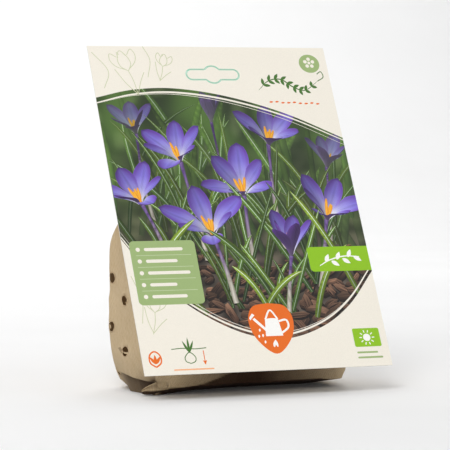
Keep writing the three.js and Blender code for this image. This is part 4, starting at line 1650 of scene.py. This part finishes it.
# %% Burrs round the punched holes
burr = Tree("punched_rims")
thickness = burr.size("Thickness", 0.0)
roughness = burr.size("Roughness", 0.0)
line = burr.add("GeometryNodeMeshToCurve", Mesh=burr.shape)[0]
drift = burr.add("ShaderNodeTexNoise", Scale=1400.0)["Color"]
drift = burr.add("ShaderNodeVectorMath", {"operation": "SUBTRACT"}, in_0=drift,
                 in_1=(0.5, 0.5, 0.5))[0]
drift = burr.add("ShaderNodeVectorMath", {"operation": "SCALE"}, in_0=drift,
                 Scale=roughness)[0]
line = burr.add("GeometryNodeSetPosition", Geometry=line, Offset=drift)[0]
profile = burr.add("GeometryNodeCurvePrimitiveCircle", Resolution=5, Radius=thickness)[0]
rims = burr.add("GeometryNodeCurveToMesh", Curve=line, Profile_Curve=profile)[0]
torn = burr.add("FunctionNodeRandomValue", {"data_type": "BOOLEAN"}, Probability=0.07,
                Seed=11)["Value"]
turn = burr.add("FunctionNodeRandomValue", {"data_type": "FLOAT_VECTOR"},
                in_0=(-3.1, -3.1, -3.1), in_1=(3.1, 3.1, 3.1), Seed=4)["Value"]
sliver = burr.add("GeometryNodeMeshCone", Vertices=4, Radius_Top=0.00003,
                  Radius_Bottom=0.0003, Depth=0.0013)["Mesh"]
corners = burr.add("GeometryNodeCurveToPoints", {"mode": "EVALUATED"}, Curve=line)["Points"]
slivers = burr.add("GeometryNodeInstanceOnPoints", Points=corners, Selection=torn,
                   Instance=sliver, Rotation=turn)[0]
burr.shape = burr.join(slivers, rims)

rim_points = np.concatenate(hole_rims)
rim_spots = row_frame(bag_points(rim_points[:, 0], rim_points[:, 1]))
rim_mesh = new_mesh("hole_burrs", rim_spots.tolist(), [], [
    (start + i, start + (i + 1) % RIM_POINTS)
    for start in range(0, len(rim_spots), RIM_POINTS) for i in range(RIM_POINTS)])
hole_burrs = burr.grow("hole_burrs", kraft.material, rim_mesh,
                       Thickness=0.22 * MM, Roughness=0.25 * MM)

# %% [markdown]
# ### The hem
#
# The mouth is folded over once, and its cut edge has small teeth. They could be drawn one by
# one, but a grid whose last row is moved by a ping-pong function has teeth at any width.

# %% The pinked hem, folded over at the back of the mouth
hem = Tree("pinked_hem")
width, height = hem.size("Width", 0.1), hem.size("Height", 0.02)
tooth, bite = hem.size("Tooth", 0.003), hem.size("Bite", 0.0018)
layer = hem.size("Layer", 0.0003)
columns = hem.math("ADD", hem.math("MULTIPLY", hem.math("DIVIDE", width, tooth), 2.0), 1.0)
flap = hem.add("GeometryNodeMeshGrid", Size_X=width, Size_Y=height, Vertices_X=columns,
               Vertices_Y=6)
place = hem.add("ShaderNodeSeparateXYZ", in_0=hem.add("GeometryNodeInputPosition")[0])
down = hem.math("SUBTRACT", 0.5, hem.math("DIVIDE", place["Y"], height))
from_end = hem.math("ADD", place["X"], hem.math("MULTIPLY", width, 0.5))
zigzag = hem.math("PINGPONG", from_end, hem.math("MULTIPLY", tooth, 0.5))
zigzag = hem.math("MULTIPLY", zigzag, hem.math("DIVIDE", bite, hem.math("MULTIPLY", tooth, 0.5)))
zigzag = hem.math("MULTIPLY", zigzag, hem.math("GREATER_THAN", down, 0.95))
sway = hem.math("SUBTRACT", hem.add("ShaderNodeTexNoise", Scale=42.0)[0], 0.4)
lift = hem.math("MULTIPLY", hem.math("MULTIPLY", hem.math("ADD", sway, 0.25),
                                     hem.math("POWER", down, 2.0)), 0.003)
shift = hem.add("ShaderNodeCombineXYZ", Y=hem.math("MULTIPLY", zigzag, -1.0), Z=lift)[0]
flap_uv = hem.add("ShaderNodeCombineXYZ", X=place["X"], Y=place["Y"])[0]
flat_flap = hem.add("GeometryNodeSetPosition", Geometry=flap["Mesh"], Offset=shift)[0]
thick_flap = hem.add("GeometryNodeExtrudeMesh", {"mode": "FACES"}, Mesh=flat_flap,
                     Offset_Scale=layer, Individual=False)["Mesh"]
both_sides = hem.join(hem.add("GeometryNodeFlipFaces", Mesh=flat_flap)[0], thick_flap)
closed_flap = hem.add("GeometryNodeMergeByDistance", Geometry=both_sides, Distance=0.00001)[0]
hem.shape = hem.add("GeometryNodeStoreNamedAttribute", {"data_type": "FLOAT2", "domain": "CORNER"},
                    Geometry=closed_flap, Name="paper", Value=flap_uv)[0]
HEM_HEIGHT, HEM_STAND = (BAG_TOP - HEM_FROM) / math.cos(CARD_LEAN) + 0.6, 3.72
hem_flap = hem.grow("pinked_hem", kraft.material, Width=2 * FLAT_HALF * MM - 0.0002,
                    Height=HEM_HEIGHT * MM, Layer=0.3 * MM)


def leaning_at(place, side):
    """A piece made flat now leans with the card: side 1 faces the reader, -1 the back."""
    sin, cos = math.sin(CARD_LEAN), math.cos(CARD_LEAN)
    return Matrix(((side, 0, 0, place[0]), (0, sin, -side * cos, place[1]),
                   (0, cos, side * sin, place[2]), (0, 0, 0, 1)))


hem_middle = BAG_TOP - 0.3 - HEM_HEIGHT / 2 * math.cos(CARD_LEAN)
hem_flap.data.transform(leaning_at(
    row_frame([0, behind_card(hem_middle) + HEM_STAND, hem_middle]), -1))

# %% [markdown]
# ### Hot melt
#
# Hot melt is dabbed on and pressed flat, so it is never a neat strip. A line of points that
# stray a little carries flattened spheres of uneven size. They take the place of the CAD's
# two plain strips.

# %% Dots of hot melt between the bag and the card
glue = Finish("hot_melt", Roughness=0.35, Specular_IOR_Level=0.5)
glue.into("Base Color", glue.blend(glue.noise(300, 2), opaque(226, 214, 186),
                                   opaque(240, 232, 212)))
GLUE_THICKNESS, GLUE_GAP, DOT_PITCH, DOT_RADIUS, DOT_COUNT = 0.4, 0.3, 6.4, 2.5, 15


def glue_dots(name, height_up_card):
    """A row of pressed dots, with their sizes and places a little uneven."""
    dots = Tree(name)
    pitch = dots.size("Pitch", 0.006)
    count, radius = dots.size("Count", 2, "NodeSocketInt"), dots.size("Radius", 0.002)
    step = dots.add("ShaderNodeCombineXYZ", X=pitch)[0]
    row = dots.add("GeometryNodeMeshLine", {"mode": "OFFSET"}, Count=count, Offset=step)[0]
    stray = dots.add("FunctionNodeRandomValue", {"data_type": "FLOAT_VECTOR"},
                     in_0=(-0.0006, -0.0005, 0), in_1=(0.0006, 0.0005, 0), Seed=3)["Value"]
    row = dots.add("GeometryNodeSetPosition", Geometry=row, Offset=stray)[0]
    dot = dots.add("GeometryNodeMeshUVSphere", Segments=16, Rings=8, Radius=radius)["Mesh"]
    spread = dots.add("FunctionNodeRandomValue", {"data_type": "FLOAT_VECTOR"},
                      in_0=(0.8, 0.8, 0.07), in_1=(1.05, 1.05, 0.08), Seed=9)["Value"]
    dots.shape = dots.add("GeometryNodeInstanceOnPoints", Points=row, Instance=dot,
                          Scale=spread)[0]
    piece = dots.grow(name, glue.material, Pitch=DOT_PITCH * MM, Count=DOT_COUNT,
                      Radius=DOT_RADIUS * MM)
    start = on_card(CARD_WIDTH / 2 - DOT_COUNT // 2 * DOT_PITCH, height_up_card,
                    CARD_THICKNESS + GLUE_GAP + GLUE_THICKNESS / 2)
    piece.data.transform(leaning_at(start, 1))
    return piece


glue_pieces = [glue_dots("glue_dots_lower", 70.0), glue_dots("glue_dots_upper", 142.0)]

# %% [markdown]
# ### Torn bits and the folded corner
#
# At two holes the paper is torn rather than cut, and at the lower left a corner of the
# folded bottom sticks out like an ear. No rule would give these shapes, so their points are
# listed one by one. The torn bits are then carried onto the bag like the rest of the sheet.

# %% Torn bits at a few holes, left by a blunt punch
# for each bit: at which of the left side's two lowest open holes, how much painted shade it has,
# how far it stands out, and its corners on the flat sheet
TORN = ((0, 0.4, 0.45, [(-7.4, 1.2), (-4.8, 1.9), (-2.3, -1.2)]),
        (0, 0.1, -0.35, [(-2.3, -0.4), (2.6, -0.2), (2.4, -1.4), (-0.5, -1.3)]),
        (1, 0.1, -0.4, [(-2.6, 1.4), (-0.5, 0.5), (-1.2, -1.4), (-2.7, -0.9)]))
torn_places, torn_faces, torn_dark = [], [], []
left_side = [c for c in hole_spots if -SIDE_LAST < c[0] < -FRONT_FOLD and c[1] > 15]
lowest_pair = sorted(left_side, key=lambda c: c[1])[:2]
for hole, dark, stand, corners in TORN:
    places = np.array(lowest_pair[hole]) + np.array(corners)
    spots = bag_points(places[:, 0], places[:, 1])
    outward = table_lookup(normal_table, places[:, 0], places[:, 1])
    outward *= np.sign(-outward[:, :1])
    lift = np.linspace(0.1, 1, len(corners))[:, None] * stand + np.sign(stand) * 0.05
    torn_faces.append([len(torn_places) + i for i in range(len(corners))])
    torn_places += (spots + outward * lift).tolist()
    torn_dark += [dark] * len(corners)
torn_bits = paper_piece("torn_bits", torn_places, torn_faces, torn_dark, 0.2, 0)
print("torn bits at", np.round(lowest_pair, 1).tolist())

# %% The folded corner that sticks out at the lower left
# rows from the fold's upper edge over its hollow and its lower edge to the floor; in each
# row seven places (x, y, height) from the tip to where it merges with the front panel
CORNER = np.array([
    [(-63.9, 29.6, 2.7), (-63.0, 28.3, 4.3), (-60.8, 27.9, 5.5), (-58.7, 27.6, 6.5),
     (-56.9, 27.4, 7.2), (-55.4, 29.6, 7.4), (-48.0, 30.6, 5.6)],
    [(-63.7, 29.8, 2.6), (-62.4, 29.2, 4.0), (-60.4, 28.9, 4.8), (-58.6, 28.6, 5.4),
     (-57.0, 28.0, 5.8), (-55.4, 29.3, 5.8), (-48.0, 30.2, 4.9)],
    [(-63.7, 29.8, 2.5), (-62.2, 29.2, 3.7), (-60.2, 29.0, 4.1), (-58.6, 28.7, 4.3),
     (-57.0, 28.1, 4.3), (-55.2, 28.4, 4.3), (-48.0, 29.0, 4.2)],
    [(-63.9, 29.4, 2.4), (-62.6, 27.9, 3.5), (-60.0, 27.5, 3.4), (-58.3, 27.4, 3.35),
     (-56.8, 27.3, 3.3), (-54.8, 27.4, 3.3), (-48.0, 27.9, 3.7)],
    [(-63.9, 29.6, 2.1), (-62.7, 28.3, 2.7), (-60.2, 27.9, 2.4), (-58.4, 27.8, 2.3),
     (-56.8, 27.8, 2.3), (-54.6, 28.2, 2.4), (-47.5, 28.9, 3.0)],
    [(-63.7, 30.4, 1.8), (-62.6, 29.6, 1.5), (-60.4, 29.4, 1.1), (-58.5, 29.5, 1.0),
     (-56.6, 29.8, 1.0), (-54.2, 30.6, 1.1), (-47.0, 32.5, 1.6)],
    [(-63.5, 31.4, 1.6), (-62.3, 31.6, 0.6), (-60.4, 31.9, 0.2), (-58.5, 32.0, 0.1),
     (-56.6, 32.4, 0.1), (-54.0, 33.6, 0.1), (-46.5, 36.4, 0.1)]])
# painted shade for each row: none on the fold's upper edge, some in its hollow, deep shade on the
# underside down to the floor
CORNER_PAINTED_SHADE = (0.0, 0.5, 0.4, 0.15, 0.97, 0.97, 0.8)
corner_faces = grid_quads(*CORNER.shape[:2])
corner_points = CORNER.reshape(-1, 3)
folded_corner = paper_piece(
    "folded_corner", corner_points, corner_faces, np.repeat(CORNER_PAINTED_SHADE, CORNER.shape[1]),
    0.25, -1, uv=corner_points[np.ravel(corner_faces)][:, [0, 2]] * MM, rounding=2)
folded_corner.data.shade_smooth()

# %% [markdown]
# ### The back seam and the corms
#
# The bag is a tube of paper, so somewhere its edges overlap and are stuck: here down the
# middle of the back. A narrow strip laid just over the sheet shows that lap. The corms
# can only be glimpsed through the holes, so the CAD's own solids stay and only get the
# papery, fibrous brown of a dry corm.

# %% The lap down the back
LAP_WIDTH, LAP_TOP, LAP_STAND, LAP_EDGE = 13.0, HEM_FROM - 2.5, 0.2, 0.7
LAP_ACROSS = np.array([-1, -0.9, -0.7, -0.35, 0, 0.35, 0.7, 0.9, 1])
lap_s, lap_z = np.meshgrid(LAP_ACROSS * LAP_WIDTH / 2,
                           np.concatenate([[0.5, 3.0], np.arange(6, LAP_TOP, 3.0), [LAP_TOP]]))
lap_faces = grid_quads(*lap_s.shape)
lap_s, lap_z = lap_s.ravel(), lap_z.ravel()
wrapped = np.where(lap_s < 0, HALF_SHEET + lap_s, lap_s - HALF_SHEET)
outward = table_lookup(normal_table, wrapped, lap_z)
outward[:, 0] *= 0.3
outward /= np.linalg.norm(outward, axis=1, keepdims=True)
outward *= np.sign(outward[:, 1:2])
print("the lap stands out by", np.round(outward[:, 1].mean() * LAP_STAND, 2), "mm")
# painted shade: dark lines along the lap's edges stand for the shadow of its step, and the double
# paper is painted a little darker
back_lap = paper_piece(
    "back_lap", bag_points(wrapped, lap_z) + outward * LAP_STAND, lap_faces,
    np.where(np.abs(lap_s) > LAP_WIDTH / 2 - LAP_EDGE, 0.34, 0.05), 0.3, 1,
    uv=np.stack([lap_s, lap_z], 1)[np.ravel(lap_faces)] * MM)

# %% Dry corms
tunic = Finish("corm_tunic", Roughness=0.8, Specular_IOR_Level=0.3)
strand = tunic.noise(700, 4, 0.6, (1, 1, 0.12))
patch = tunic.spread(tunic.noise(120, 3), 0.35, 0.65)
skin = tunic.blend(patch, opaque(122, 82, 48), opaque(158, 116, 74))
skin = tunic.blend(tunic.spread(strand, 0.35, 0.65, 0.0, 0.6), skin, opaque(92, 58, 34))
tunic.into("Base Color", skin)
tunic.into("Normal", tunic.bump(strand, 0.5, 0.0006))
for index in range(1, 11):
    corm = bpy.data.objects[f"corm_{index:02d}"]
    corm.data.materials.clear()
    corm.data.materials.append(tunic.material)
print("ten corms wear", tunic.material.name)

for piece, replaced, slot in ((hole_burrs, None, "kraft_paper"), (hem_flap, None, "kraft_paper"),
                              (back_lap, None, "kraft_paper"), (torn_bits, None, "kraft_paper"),
                              (folded_corner, None, "kraft_paper"),
                              (glue_pieces[0], "glue_strip_lower", "glue"),
                              (glue_pieces[1], "glue_strip_upper", "glue")):
    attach(piece, "root")
    if replaced:
        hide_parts(replaced)
